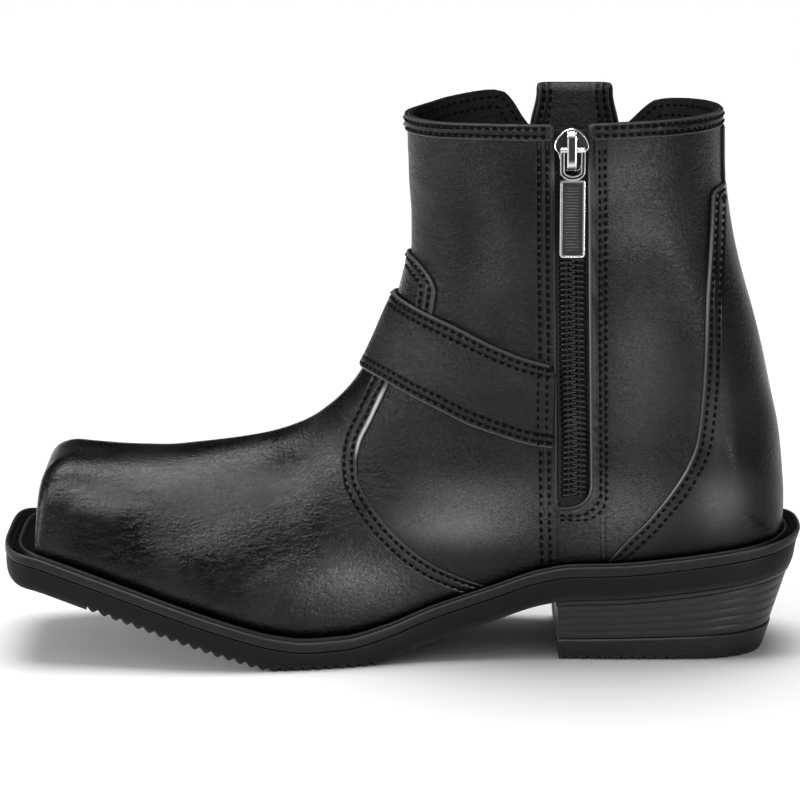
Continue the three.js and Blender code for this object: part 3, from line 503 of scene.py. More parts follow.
class Sheet:
    # triangles over the last's own parameters, with signed distances to cut edges at every corner
    s = property(lambda sheet: sheet.value["s"])
    t = property(lambda sheet: sheet.value["t"])
    q = property(lambda sheet: sheet.value["q"])
    f = property(lambda sheet: sheet.value["f"])

    def __init__(self, rows, steps):
        fine = np.linspace(0, lastRow, 3301)
        _, _, base, ridge = lastSection(fine, 0.0)
        move = np.maximum(*(np.hypot(np.diff(line[0]), np.diff(line[1])) for line in (base, ridge)))
        far = np.concatenate([[0], np.cumsum(move + 0.004)])
        s = np.interp(np.linspace(0, far[-1], rows), far, fine)
        s[np.argmin(np.abs(s - cornerRow))] = cornerRow
        t = (1 - np.cos(np.pi * np.arange(steps + 1) / steps)) / 2
        strip = np.array([0.25, 0.5, 0.75])
        columnT = np.concatenate([t, np.ones(3), t[::-1], np.zeros(3)])
        columnQ = np.concatenate([np.ones(steps + 1), 1 - strip, np.zeros(steps + 1), strip])
        columns = len(columnT)
        quads = ringFaces(rows, columns)
        column = quads[:, 0] % columns
        row = quads[:, 0] // columns
        openSeat = (column >= columns - 4) & (s[row] < cornerRow - 1e-9)
        # the flat front of the toe: the first row's two sides joined across, share by share
        cap = np.empty((steps + 1, 5), int)
        cap[:, 0] = np.arange(steps + 1)
        cap[:, 4] = 2 * steps + 4 - np.arange(steps + 1)
        cap[0, 1:4] = 2 * steps + 7 - np.arange(3)
        cap[steps, 1:4] = steps + 1 + np.arange(3)
        cap[1:steps, 1:4] = rows * columns + np.arange(3 * (steps - 1)).reshape(-1, 3)
        front = np.stack([cap[:-1, :-1], cap[:-1, 1:], cap[1:, 1:], cap[1:, :-1]], -1).reshape(-1, 4)
        self.value = {
            "s": np.concatenate([np.repeat(s, columns), np.zeros(3 * (steps - 1))]),
            "t": np.concatenate([np.tile(columnT, rows), np.repeat(t[1:-1], 3)]),
            "q": np.concatenate([np.tile(columnQ, rows), np.tile(1 - strip, steps - 1)]),
        }
        quads = np.concatenate([quads[~openSeat], front])
        even = (quads[:, 0] % 2 == 0)[:, None]
        first = np.where(even, quads[:, [0, 1, 2]], quads[:, [1, 2, 3]])
        second = np.where(even, quads[:, [0, 2, 3]], quads[:, [1, 3, 0]])
        self.faces = np.concatenate([first, second])

    def place(self):
        return sideView(self.s, self.t)

    def measure(self, inner, outer=None, key="f"):
        # distance to a line: one function of the side view for each side
        x, z = self.place()
        self.value[key] = inner(x, z) * self.q + (outer or inner)(x, z) * (1 - self.q)

    def cut(self, level, key="f"):
        # splits every triangle that the line value = level crosses
        snap = 0.06
        f = self.value[key] - level
        f[np.abs(f) < snap] = 0.0
        self.value[key] = f + level
        sign = np.sign(f)[self.faces]
        pairs = [(0, 1), (1, 2), (2, 0)]
        crossed = np.stack([sign[:, a] * sign[:, b] < 0 for a, b in pairs], 1)
        number = crossed.sum(1)
        keep = self.faces[number == 0]
        busy = self.faces[number > 0]
        hit = crossed[number > 0]
        if not len(busy):
            return
        edges = np.concatenate([busy[hit[:, k]][:, list(pairs[k])] for k in range(3)])
        edges.sort(1)
        edges = np.unique(edges, axis=0)
        code = edges[:, 0].astype(np.int64) * (len(self.s) + 1) + edges[:, 1]
        fa, fb = f[edges[:, 0]], f[edges[:, 1]]
        share = fa / (fa - fb)
        base = len(self.s)
        for name, v in self.value.items():
            self.value[name] = np.concatenate([v, v[edges[:, 0]] + (v[edges[:, 1]] - v[edges[:, 0]]) * share])
        self.value[key][base:] = level

        def onEdge(a, b):
            low, high = np.minimum(a, b), np.maximum(a, b)
            return base + np.searchsorted(code, low.astype(np.int64) * (base + 1) + high)

        made = [keep]
        for k in range(3):  # two crossed edges: the corner they share is first
            both = (hit.sum(1) == 2) & ~hit[:, (k + 1) % 3]
            a, b, c = (busy[both][:, (k + m) % 3] for m in range(3))
            p, q = onEdge(a, b), onEdge(a, c)
            made += [np.stack([a, p, q], 1), np.stack([p, b, c], 1), np.stack([p, c, q], 1)]
        for k in range(3):  # one crossed edge, opposite a corner on the line
            one = (hit.sum(1) == 1) & hit[:, (k + 1) % 3]
            a, b, c = (busy[one][:, (k + m) % 3] for m in range(3))
            p = onEdge(b, c)
            made += [np.stack([a, b, p], 1), np.stack([a, p, c], 1)]
        self.faces = np.concatenate(made)

    def clip(self, levels):
        # cuts at every level and keeps what lies above the first
        for level in levels:
            self.cut(level)
        inside = (self.f[self.faces] >= levels[0] - 1e-9).all(1)
        onLine = (np.abs(self.f[self.faces] - levels[0]) < 1e-9).all(1)
        self.faces = self.faces[inside & ~onLine]
        used, back = np.unique(self.faces, return_inverse=True)
        self.faces = back.reshape(-1, 3)
        for name, v in self.value.items():
            self.value[name] = v[used]

    def borders(self):
        # directed edges that belong to one triangle
        e = np.concatenate([self.faces[:, [0, 1]], self.faces[:, [1, 2]], self.faces[:, [2, 0]]])
        code = e[:, 0].astype(np.int64) * len(self.s) + e[:, 1]
        other = e[:, 1].astype(np.int64) * len(self.s) + e[:, 0]
        return e[~np.isin(code, other)]

    def thicken(self, outer, inner):
        # closed body: the sheet at one offset, turned round at another, and a wall along its borders
        n = len(self.s)
        a, b = self.borders().T
        walls = [np.stack([b, a, a + n], 1), np.stack([b, a + n, b + n], 1)]
        faces = np.concatenate([self.faces, self.faces[:, ::-1] + n, *walls])
        faces = np.pad(faces, ((0, 0), (0, 1)), constant_values=-1)
        points = np.concatenate([lastPoint(self.s, self.t, self.q, offset) for offset in (outer, inner)])
        return points, facingOut(points, faces)


def roundedEdge(f, offset, radius):
    # the offset falls off as a quarter circle within radius of the cut edge
    near = np.clip(1 - f / radius, 0, 1)
    return offset - radius * (1 - np.sqrt(np.maximum(0, 1 - near * near)))


# Shader groups and materials


def node(tree, kind, values=None, **settings):
    # a node whose inputs take values, or links where a socket is given
    made = tree.nodes.new(kind)
    for key, value in settings.items():
        setattr(made, key, value)
    for key, value in (values or {}).items():
        if isinstance(value, bpy.types.NodeSocket):
            tree.links.new(value, made.inputs[key])
        else:
            made.inputs[key].default_value = value
    return made


def maths(tree, operation, a, b=None, clamp=False):
    values = {0: a} if b is None else {0: a, 1: b}
    return node(tree, "ShaderNodeMath", values, operation=operation, use_clamp=clamp).outputs[0]


def noise(tree, vector, scale, detail, roughness=0.5, distortion=0.0):
    values = {"Vector": vector, "Scale": scale, "Detail": detail, "Roughness": roughness}
    return node(tree, "ShaderNodeTexNoise", {**values, "Distortion": distortion}).outputs["Fac"]


def mapRange(tree, value, fromMin, fromMax, toMin=0.0, toMax=1.0):
    values = {"Value": value, "From Min": fromMin, "From Max": fromMax, "To Min": toMin, "To Max": toMax}
    return node(tree, "ShaderNodeMapRange", values).outputs["Result"]


def mapped(tree, vector, scale, turn=(0.0, 0.0, 0.0)):
    values = {"Vector": vector, "Rotation": turn, "Scale": scale}
    return node(tree, "ShaderNodeMapping", values).outputs["Vector"]


def attribute(tree, name):
    return node(tree, "ShaderNodeAttribute", attribute_name=name).outputs["Fac"]


def mixed(tree, factor, a, b, **settings):
    # colour mix; each colour is a socket, a grey or a triple
    values = {"Factor": factor}
    for key, colour in (("A", a), ("B", b)):
        triple = (colour,) * 3 if isinstance(colour, float) else colour
        values[key] = (*triple, 1) if isinstance(triple, tuple) else colour
    return node(tree, "ShaderNodeMix", values, data_type="RGBA", **settings).outputs["Result"]


def grouped(tree, group, values):
    return node(tree, "ShaderNodeGroup", values, node_tree=group).outputs


def newGroup(name, inputs, outputs, build):
    # node group: an input is a number, or None for a vector; build returns the sockets of the outputs
    group = bpy.data.node_groups.new(name, "ShaderNodeTree")
    for label, value in inputs.items():
        kind = "NodeSocketVector" if value is None else "NodeSocketFloat"
        socket = group.interface.new_socket(label, in_out="INPUT", socket_type=kind)
        if value is not None:
            socket.default_value = value
    for label in outputs:
        group.interface.new_socket(label, in_out="OUTPUT", socket_type="NodeSocketFloat")
    enter = group.nodes.new("NodeGroupInput")
    leave = group.nodes.new("NodeGroupOutput")
    for label, value in zip(outputs, build(group, enter.outputs)):
        group.links.new(value, leave.inputs[label])
    return group


def grainNodes(group, given):
    # leather grain: rounded cells from a Voronoi, fine pores from noise, and drawn-out wrinkles
    place = given["Vector"]
    values = {"Vector": place, "Scale": given["Cells"], "Randomness": 0.9}
    cells = node(group, "ShaderNodeTexVoronoi", values, feature="SMOOTH_F1").outputs["Distance"]
    stretch = mapped(group, place, (1.0, 1.0, 2.6), (0.0, 0.75, 0.0))
    lines = noise(group, stretch, 170.0, 5.0, 0.62, 0.6)
    ridge = maths(group, "ABSOLUTE", maths(group, "SUBTRACT", lines, 0.5))
    ridge = maths(group, "POWER", maths(group, "MULTIPLY", ridge, 4.0, clamp=True), 0.5)
    ridge = maths(group, "MULTIPLY", ridge, given["Wrinkle"])
    pebble = maths(group, "SUBTRACT", 1.0, maths(group, "MULTIPLY", cells, 1.3))
    pebble = maths(group, "MULTIPLY", pebble, given["Pebble"])
    pores = maths(group, "MULTIPLY", noise(group, place, 2400.0, 3.0, 0.6), 0.35)
    height = maths(group, "ADD", maths(group, "ADD", pebble, pores), ridge)
    # flecks: a scatter of fine noise, kept where a broad cloud of scuffing lies
    speck = maths(group, "SUBTRACT", noise(group, stretch, 1050.0, 2.0, 0.7), 0.5)
    patch = mapRange(group, noise(group, place, 26.0, 3.0), 0.4, 0.6, 0.35, 1.0)
    smooth = maths(group, "MULTIPLY", maths(group, "SUBTRACT", 0.55, ridge), 0.12)
    fleck = maths(group, "SUBTRACT", maths(group, "MULTIPLY", speck, patch), smooth)
    return height, noise(group, place, 38.0, 4.0, 0.55), fleck


def sewnNodes(group, given):
    # two sewn furrows at given distances from a cut edge, and a mask close to the edge itself
    def furrow(centre):
        away = maths(group, "SUBTRACT", given["Distance"], given[centre])
        away = maths(group, "DIVIDE", away, given["Width"])
        return maths(group, "EXPONENT", maths(group, "MULTIPLY", maths(group, "MULTIPLY", away, away), -1.0))

    both = maths(group, "ADD", furrow("First"), furrow("Second"), clamp=True)
    near = maths(group, "DIVIDE", given["Distance"], 0.7)
    return both, maths(group, "SUBTRACT", 1.0, near, clamp=True)


def speckleNodes(group, given):
    # small bright and dark flecks for sprayed metal and moulded rubber
    fleck = noise(group, given["Vector"], given["Scale"], 2.0, 0.7)
    return fleck, noise(group, given["Vector"], 60.0, 4.0)


grainInputs = {"Vector": None, "Cells": 900.0, "Pebble": 0.6, "Wrinkle": 0.4}
grainGroup = newGroup("leatherGrain", grainInputs, ("Height", "Mottle", "Fleck"), grainNodes)
sewnInputs = {"Distance": 99.0, "First": 1.6, "Second": 4.6, "Width": 0.55}
sewnGroup = newGroup("sewnEdge", sewnInputs, ("Furrow", "Edge"), sewnNodes)
speckleGroup = newGroup("fineSpeckle", {"Vector": None, "Scale": 3000.0}, ("Fleck", "Cloud"), speckleNodes)


def newTree(name):
    made = bpy.data.materials.new(name)
    made.use_nodes = True
    made.node_tree.nodes.clear()
    return made.node_tree


def shaded(tree, values, bump):
    # the material's own Principled shader on its output
    normal = node(tree, "ShaderNodeBump", bump).outputs["Normal"]
    shader = node(tree, "ShaderNodeBsdfPrincipled", {**values, "Normal": normal})
    node(tree, "ShaderNodeOutputMaterial", {"Surface": shader.outputs["BSDF"]})


def leather(name, look):
    # base colour mottled, with painted sheen spots, a painted highlight along cut edges and painted shade
    # behind the welt; grain and sewn furrows as bump
    tree = newTree(name)
    place = node(tree, "ShaderNodeTexCoord").outputs["Object"]
    values = {key: look[key.lower()] for key in ("Cells", "Pebble", "Wrinkle")}
    grain = grouped(tree, grainGroup, {"Vector": place, **values})
    edge, worn, burnish, shade = (attribute(tree, key) for key in ("edge", "worn", "burnish", "shade"))

    def rowsFrom(distance, first, second):
        return grouped(tree, sewnGroup, {"Distance": distance, "First": first, "Second": second})

    sewn = rowsFrom(edge, *look["rows"])
    # painted sheen: the spots lighten the mottled tone, and below 0 paint shade
    cloudy = maths(tree, "ADD", mapRange(tree, grain["Mottle"], 0.33, 0.67), burnish)
    flecks = maths(tree, "MULTIPLY", grain["Fleck"], look["fleck"])
    scale = maths(tree, "ADD", maths(tree, "MULTIPLY", burnish, 0.5), 1.0)
    cloudy = maths(tree, "MAXIMUM", maths(tree, "ADD", cloudy, maths(tree, "MULTIPLY", flecks, scale)), -0.25)
    tone = mixed(tree, cloudy, look["dark"], look["light"], clamp_factor=False)
    # painted highlight: cut edges mixed towards a light colour
    rub = maths(tree, "ADD", maths(tree, "MULTIPLY", sewn["Edge"], look["rub"]), worn, clamp=True)
    # painted shade: mixed towards near black where the leather goes down behind the welt
    tone = mixed(tree, shade, mixed(tree, rub, tone, look["rubbed"]), 0.001)
    rough = mapRange(tree, grain["Mottle"], 0.3, 0.7, *look["rough"])
    rough = maths(tree, "SUBTRACT", rough, maths(tree, "MULTIPLY", grain["Fleck"], 0.5))
    furrow = sewn["Furrow"]
    for sign, first, second in look["zipRows"]:
        away = maths(tree, "MULTIPLY", attribute(tree, "zipSide"), sign)
        furrow = maths(tree, "MAXIMUM", furrow, rowsFrom(away, first, second)["Furrow"])
    height = maths(tree, "SUBTRACT", grain["Height"], maths(tree, "MULTIPLY", furrow, look["furrow"]))
    values = {"Base Color": tone, "Roughness": rough, "Specular IOR Level": look["specular"]}
    shaded(tree, values, {"Height": height, "Strength": look["bump"], "Distance": look["relief"]})


def moulded(name, look):
    # rubber, leather edge, cloth, thread or metal: speckled colour, roughness and bump; polished rims are
    # bare bright metal on metal and a painted highlight line on rubber and leather
    tree = newTree(name)
    place = mapped(tree, node(tree, "ShaderNodeTexCoord").outputs["Object"], look["stretch"])
    speckle = grouped(tree, speckleGroup, {"Vector": place, "Scale": look["scale"]})
    polish = attribute(tree, "polish")
    tone = mixed(tree, mapRange(tree, speckle["Fleck"], 0.35, 0.65), look["dark"], look["light"])
    # painted highlight: rims mix towards the bright colour; on metal this is bare worn metal
    tone = mixed(tree, polish, tone, look["bright"])
    # painted shade: near black where the shade value is set, in the welt's dark channel
    tone = mixed(tree, attribute(tree, "shade"), tone, 0.0012)
    rough = mapRange(tree, speckle["Cloud"], 0.0, 1.0, *look["rough"])
    rough = {"Factor": polish, "A": rough, "B": look["polished"]}
    values = {
        "Base Color": tone,
        "Roughness": node(tree, "ShaderNodeMix", rough, data_type="FLOAT").outputs["Result"],
        "Metallic": look["metal"],
        "Specular IOR Level": look["specular"],
    }
    shaded(tree, values, {"Height": speckle["Fleck"], "Strength": look["bump"], "Distance": 0.0001})


# A colour is a grey or a triple. rows and zipRows are distances of sewn furrows, zipRows after their side.
# the painted highlight along cut edges takes its colour and its amount near the edge from these looks too
leatherLook = {
    "dark": (0.005, 0.005, 0.0052),
    "light": (0.018, 0.018, 0.0184),
    "rubbed": (0.22, 0.22, 0.222),
    "rub": 0.35,
    "fleck": 7.0,
    "rough": (0.27, 0.46),
    "specular": 0.2,
    "cells": 820.0,
    "pebble": 0.8,
    "wrinkle": 0.6,
    "bump": 0.75,
    "relief": 0.00026,
    "furrow": 3.4,
    "rows": (1.6, 4.6),
    "zipRows": (),
}
leatherLooks = {
    "shaftLeather": {"zipRows": ((1.0, 9.0, 12.2), (-1.0, 10.6, 12.6))},
    "vampLeather": {
        "rubbed": 0.95, "rub": 0.03, "rough": (0.19, 0.34), "pebble": 0.6, "wrinkle": 0.4, "bump": 0.6,
        "specular": 0.24
    },
    # the counter's copy is darker than the shaft's leather: painted shade on the heel's side, which turns
    # away from the light
    "counterLeather": {
        "rubbed": 0.4, "rub": 0.1, "rough": (0.22, 0.36), "pebble": 0.5, "wrinkle": 0.4, "bump": 0.5,
        "light": 0.014, "specular": 0.13, "fleck": 3.5
    },
    "strapLeather": {"rough": (0.38, 0.52), "pebble": 0.9, "rows": (1.9, 4.6)},
    "bandLeather": {"rows": (1.5, 4.3)},
    "liningLeather": {"rough": (0.6, 0.75), "pebble": 0.3, "wrinkle": 0.8, "rub": 0.0},
}
mouldedLook = {"metal": 0.0, "specular": 0.5, "stretch": (1.0, 1.0, 1.0), "bright": 0.06, "polished": 0.35}
mouldedLooks = {
    "waxedThread": {
        "dark": 0.001, "light": 0.003, "rough": (0.5, 0.6), "scale": 5200.0, "bump": 0.5, "specular": 0.05
    },
    "zipTapeCloth": {
        "dark": 0.004, "light": (0.014, 0.014, 0.015), "rough": (0.8, 0.95), "scale": 3600.0,
        "stretch": (0.5, 1.0, 1.6), "bump": 0.9
    },
    "gunmetal": {
        "dark": (0.012, 0.012, 0.0125), "light": (0.06, 0.06, 0.062), "bright": (0.8, 0.8, 0.81),
        "metal": 1.0, "rough": (0.4, 0.6), "polished": 0.2, "scale": 2600.0, "bump": 0.6
    },
    "zipTeeth": {
        "dark": 0.003, "light": (0.007, 0.007, 0.0075), "rough": (0.25, 0.38), "scale": 3000.0, "bump": 0.1,
        "specular": 0.4
    },
    "weltLeather": {
        "dark": 0.006, "light": 0.016, "specular": 0.22, "rough": (0.42, 0.6), "polished": 0.36,
        "scale": 900.0, "stretch": (0.35, 0.35, 3.0), "bump": 0.7
    },
    "soleRubber": {
        "dark": 0.003, "light": 0.007, "bright": 0.04, "specular": 0.16, "rough": (0.5, 0.64),
        "polished": 0.4, "scale": 2600.0, "bump": 0.25
    },
    "topLiftRubber": {
        "dark": 0.011, "light": 0.027, "specular": 0.22, "rough": (0.42, 0.58), "scale": 700.0,
        "stretch": (0.3, 0.3, 5.0), "bump": 0.4
    },
    "heelStackLeather": {
        "dark": 0.014, "light": (0.036, 0.0355, 0.0355), "specular": 0.24, "rough": (0.38, 0.55),
        "scale": 420.0, "stretch": (0.25, 0.25, 6.0), "bump": 0.8
    },
    "insoleLeather": {
        "dark": (0.02, 0.019, 0.018), "light": (0.045, 0.043, 0.04), "rough": (0.5, 0.7),
        "scale": 1500.0, "bump": 0.5
    },
}
for kind, shared, looks in ((leather, leatherLook, leatherLooks), (moulded, mouldedLook, mouldedLooks)):
    for name, look in looks.items():
        kind(name, {**shared, **look})
print("materials ready")


# Sewn pieces

shell = {
    "wall": 2.2,  # upper with its lining
    "overlay": 1.3,
    "seam": 0.3,
    "strap": 1.8,
    "band": 0.7,
    "bandHeight": 6.0,
    "rows": 250,
    "fineRows": 420,
    "steps": 58,
}
zipPlace = {"x": 82.3, "z": 198.0, "lean": 0.018, "half": 6.3, "floor": 59.5, "corner": 8.0}
tongueTop = 0.739 * tall
counterTop = 0.868 * tall
loopAt = 0.27 * length
loopGap = (loopAt - 15, loopAt + 16)  # rows of stitches leave out what the pull loop covers


def shares(rows):
    return np.array(rows) * np.array([length, tall])


vampEdge = shares(
    [  # from under the welt up the rear edge and round the tongue under the strap
        [0.36, 0.115], [0.443, 0.16], [0.4655, 0.175], [0.492, 0.1995], [0.519, 0.233], [0.539, 0.263],
        [0.5574, 0.2986], [0.5683, 0.332], [0.5694, 0.36], [0.5655, 0.388], [0.549, 0.434], [0.533, 0.48],
        [0.5, 0.567], [0.475, 0.611], [0.4685, 0.632], [0.4655, 0.6545], [0.4634, 0.679], [0.4673, 0.696],
        [0.479, 0.7163], [0.4926, 0.7308], [0.507, 0.739],
    ]
)
counterEdge = shares(
    [  # from the back along the top and down the front edge
        [0.088, 0.868], [0.0955, 0.866], [0.1015, 0.86], [0.1035, 0.848], [0.1042, 0.824],
        [0.1067, 0.7577], [0.1106, 0.67], [0.1113, 0.58], [0.1137, 0.491], [0.1194, 0.4106],
        [0.1335, 0.357], [0.155, 0.3077], [0.18, 0.2615], [0.203, 0.23], [0.2187, 0.207], [0.24, 0.17],
    ]
)
strapTop = shares(
    [
        [0.3065, 0.5524], [0.3408, 0.5635], [0.3806, 0.5837], [0.4335, 0.617], [0.469, 0.6356],
        [0.5056, 0.653], [0.5246, 0.66], [0.58, 0.672],
    ]
)
strapBottom = shares(
    [
        [0.3065, 0.397], [0.3398, 0.4043], [0.38, 0.4212], [0.4197, 0.44], [0.4595, 0.4663],
        [0.4926, 0.4846], [0.5257, 0.503], [0.5454, 0.511], [0.567, 0.5154], [0.62, 0.521],
    ]
)
collarInner = shares(
    [
        [-0.2, 1.003], [0.08, 1.002], [0.18, 1], [0.285, 0.996], [0.4, 0.994], [0.5035, 0.989],
        [0.8, 0.989],
    ]
)
collarOuter = shares(
    [
        [-0.2, 1.003], [0.08, 1], [0.13, 0.9965], [0.158, 0.991], [0.172, 0.978], [0.194, 0.949],
        [0.215, 0.927], [0.24, 0.913], [0.27, 0.909], [0.3, 0.913], [0.324, 0.926], [0.342, 0.949],
        [0.36, 0.986], [0.369, 1], [0.376, 1.006], [0.392, 1.007], [0.44, 1], [0.5035, 0.989],
        [0.8, 0.989],
    ]
)


def zipAt(z):
    return zipPlace["x"] + (z - zipPlace["z"]) * zipPlace["lean"]


def zipStrip(half, low, high):
    return np.array([[zipAt(z) + side * half, z] for z, side in ((low, -1), (low, 1), (high, 1), (high, -1))])


def slotOutline():
    # the opening for the zip: straight sides and a rounded lower back corner
    half, floor, corner = zipPlace["half"], zipPlace["floor"], zipPlace["corner"]
    a = np.linspace(0, np.pi / 2, 9)
    bend = np.stack([zipAt(floor) - half + corner * (1 - np.cos(a)), floor + corner * (1 - np.sin(a))], 1)
    high = 250.0  # well above the collar
    straight = [[zipAt(floor) + half, floor], [zipAt(high) + half, high], [zipAt(high) - half, high]]
    return np.concatenate([straight, bend])


def below(line):
    # closed outline under a line, for trimming
    return np.concatenate([line, [[line[-1, 0], -80.0], [line[0, 0], -80.0]]])


def strapLift(x):
    return shell["seam"] + (shell["overlay"] + shell["seam"]) * smoothStep((x / length - 0.36) / 0.1)


collarIn = smoothPath(collarInner)
collarOut = smoothPath(collarOuter, 1.5)


def sewnSheet(name, inner, outer, low, high, radius, material, replaces, worn=None, rows=None, levels=None,
              seam=None, rim=None, back=None, slot="black_leather"):
    # a panel of the last between two offsets, cut where the distance is 0, with its outer edge rounded
    sheet = Sheet(rows or shell["rows"], shell["steps"])
    sheet.measure(inner, outer)
    cuts = levels or [0.0, 0.12 * radius, 0.4 * radius, radius]
    if seam:
        sheet.measure(*seam["side"], key="g")
        for level in seam["levels"]:
            sheet.cut(level, key="g")
    if rim:
        sheet.measure(rim, key="e")
        for level in cuts[1:]:
            sheet.cut(level, key="e")
        cuts = cuts[:1]
    sheet.clip(cuts)
    edge = sheet.value["e"] if rim else sheet.f
    x, z = sheet.place()
    isInner = sheet.q > 0.5
    grown = valueAt(high, x)
    if seam:
        grown = grown + seam["height"](x, z, sheet.value["g"], isInner)
    points, faces = sheet.thicken(roundedEdge(edge, grown, radius), valueAt(low, x))
    wornTop = worn(x, z, isInner, edge) if worn else 0 * x
    piece = addPiece(
        name, points, faces, material, replaces, slot, back=back,
        edge=np.concatenate([edge, 0 * x + 99]),
        worn=np.concatenate([wornTop, 0 * x]),
        shade=np.tile(featherShade(x, z), 2),
        burnish=np.concatenate([burnishAt(x, z, isInner), 0 * x]),
        zipSide=np.concatenate([np.where(isInner, x - zipAt(z), 99.0), 0 * x + 99]),
    )
    if back:
        under = (faces[:, :3] >= len(x)).all(1)
        piece.data.polygons.foreach_set("material_index", under.astype(np.int32))
    print("sewn", name, len(faces))


def overlayPanel(name, outline, material, replaces, worn):
    # a panel lying over the upper
    low = shell["seam"]
    sewnSheet(name, within(outline), None, low, low + shell["overlay"], 0.55, material, replaces, worn)


def buildUpper():
    slot, collar, farCollar = within(slotOutline()), within(below(collarIn)), within(below(collarOut))
    inner = lambda x, z: np.minimum(collar(x, z), -slot(x, z))

    def worn(x, z, isInner, f):
        # painted highlight along the zip facing's back edge, and along its front edge only near the slider
        away = x - zipAt(z)
        rear = bell(f / 0.7) * (away < 0) * smoothStep((z - 60) / 8) * (1 - smoothStep((z - 185) / 15))
        fore = bell(f / 0.7) * (away > 0) * bell((z - 189) / 6)
        return isInner * (0.75 * rear + 0.8 * fore) * (z < 204)

    # the front quarter laps over the rear one below the zip, with a step along the placket
    lap = lambda x, z: x - zipAt(z) - 5.9 + 60 * smoothStep((z - 59.6) / 3)
    away = lambda x, z: x * 0 + 9.0

    def lapHeight(x, z, g, isInner):
        ends = (1 - smoothStep((g - 8) / 10)) * (1 - smoothStep((z - 59) / 3)) * smoothStep((x - 80) / 2)
        return isInner * 0.55 * smoothStep(g / 0.35) * ends

    seam = {"side": (lap, away), "levels": (0.0, 0.35), "height": lapHeight}
    sewnSheet("upperLeather", inner, farCollar, -shell["wall"], 0.0, 0.7, "shaftLeather", ("upper",), worn,
              seam=seam, back="liningLeather")


def buildVamp():
    edge = smoothPath(vampEdge, 1.5)
    outline = np.concatenate([edge, [[length + 30, tongueTop], [length + 30, -40], [0.35 * length, -40]]])

    def worn(x, z, isInner, f):
        # painted highlight along the vamp's cut edge, strongest in a band of its rear edge
        band = smoothStep((z - 74) / 7) * (1 - smoothStep((z - 97) / 8))
        return bell(f / 0.34) * (0.9 * band + 0.06)

    overlayPanel("vampLeatherPanel", outline, "vampLeather", ("vamp",), worn)


def buildCounter():
    edge = smoothPath(counterEdge, 1.5)
    outline = np.concatenate([[[-40, counterTop]], edge, [[0.24 * length, -40], [-40, -40]]])

    def worn(x, z, isInner, f):
        # painted highlight along the counter's cut edge, strongest at two heights
        return bell(f / 0.3) * (0.1 + 0.5 * (bell((z - 150) / 22) + bell((z - 66) / 14)))

    overlayPanel("counterPanel", outline, "counterLeather", ("counter",), worn)


strapPaths = smoothPath(strapBottom), smoothPath(strapTop)[::-1]
strapDistance = within(np.concatenate(strapPaths))


def buildStrap():
    # the end under the zip placket is only cut, so the edge's own distance runs on behind it
    bottom, top = strapPaths
    lead = [[-30.0, 0.0]]
    rim = within(np.concatenate([bottom[:1] + lead, bottom, top, top[-1:] + lead]))

    def worn(x, z, isInner, f):
        # painted highlight along the strap's cut edges
        return 0.28 * bell(f / 0.6)

    sewnSheet("strapPanel", strapDistance, None, strapLift, lambda x: strapLift(x) + shell["strap"], 0.9,
              "strapLeather", ("strap",), worn, rows=330, levels=[0.0, 0.08, 0.3, 0.9], rim=rim)


def buildBand():
    # turned band along the collar: between the collar and a line under it, open at the zip
    drop = np.array([0, shell["bandHeight"]])
    gap = within(zipStrip(zipPlace["half"] + 0.7, 150, 260))

    def banded(line):
        top, low = within(below(line)), within(below(line - drop))
        return lambda x, z: np.minimum(top(x, z), -low(x, z))

    near = banded(collarIn)
    inner = lambda x, z: np.minimum(near(x, z), -gap(x, z))
    sewnSheet("collarBand", inner, banded(collarOut), 0.02, shell["seam"] + shell["band"], 0.5, "bandLeather",
              ("top_band",), rows=shell["fineRows"], levels=[0.0, 0.1, 0.5])


def buildStay():
    # back stay between the counter and the band, its sides at 8 mm from the middle
    sheet = Sheet(shell["fineRows"], 60)
    sheet.measure(lambda x, z: np.minimum(z - counterTop - 0.3, tall - 6.3 - z))
    across = np.abs(lastPoint(sheet.s, sheet.t, sheet.q)[:, 1])
    sheet.value["f"] = np.where(sheet.t > 0.5, -5.0, np.minimum(sheet.f, 8 - across))
    sheet.clip([0.0, 0.1, 0.5])
    points, faces = sheet.thicken(roundedEdge(sheet.f, 1.5, 0.5), 0.1 + 0 * sheet.f)
    edge = np.concatenate([sheet.f, sheet.f * 0 + 99])
    addPiece("backStay", points, faces, "bandLeather", ("back_stay",), edge=edge, worn=0 * edge)


def buildTape():
    inner = within(zipStrip(13.0, zipPlace["floor"] - 7, 0.985 * tall))
    outer = lambda x, z: x * 0 - 5.0
    sewnSheet("zipTapeCloth", inner, outer, -3.4, -2.5, 0.2, "zipTapeCloth", ("zip_tape",), levels=[0.0],
              slot="tape")


buildUpper()
buildVamp()
buildCounter()
buildStrap()
buildBand()
buildStay()
buildTape()


# Stitches

stitchLook = {"pitch": 3.0, "length": 2.05, "radius": 0.46, "sides": 6, "rise": 0.02}


def capsules(centres, alongs, normals, size, radius):
    # short threads: a tube whose ends dip into the leather, one for every centre
    half = np.array([[-0.5, 0.25, -0.9], [-0.42, 0.8, -0.3], [-0.18, 1.0, 0.1]])  # along, width, height
    rings = np.concatenate([half, half[::-1] * [-1, 1, 1]])
    sides = stitchLook["sides"]
    a = np.arange(sides) / sides * 2 * np.pi
    lengthwise = np.repeat(rings[:, 0], sides) * size
    across = (rings[:, 1, None] * np.cos(a)).ravel() * radius
    up = (rings[:, 1, None] * np.sin(a) + rings[:, 2, None]).ravel() * radius
    alongs = unit(alongs)
    crosses = unit(np.cross(normals, alongs))
    points = centres[:, None]
    for part, way in ((lengthwise, alongs), (across, crosses), (up, np.cross(alongs, crosses))):
        points = points + part[None, :, None] * way[:, None]
    return copies(points, facingOut(points[0], tubeFaces(len(rings), sides)))


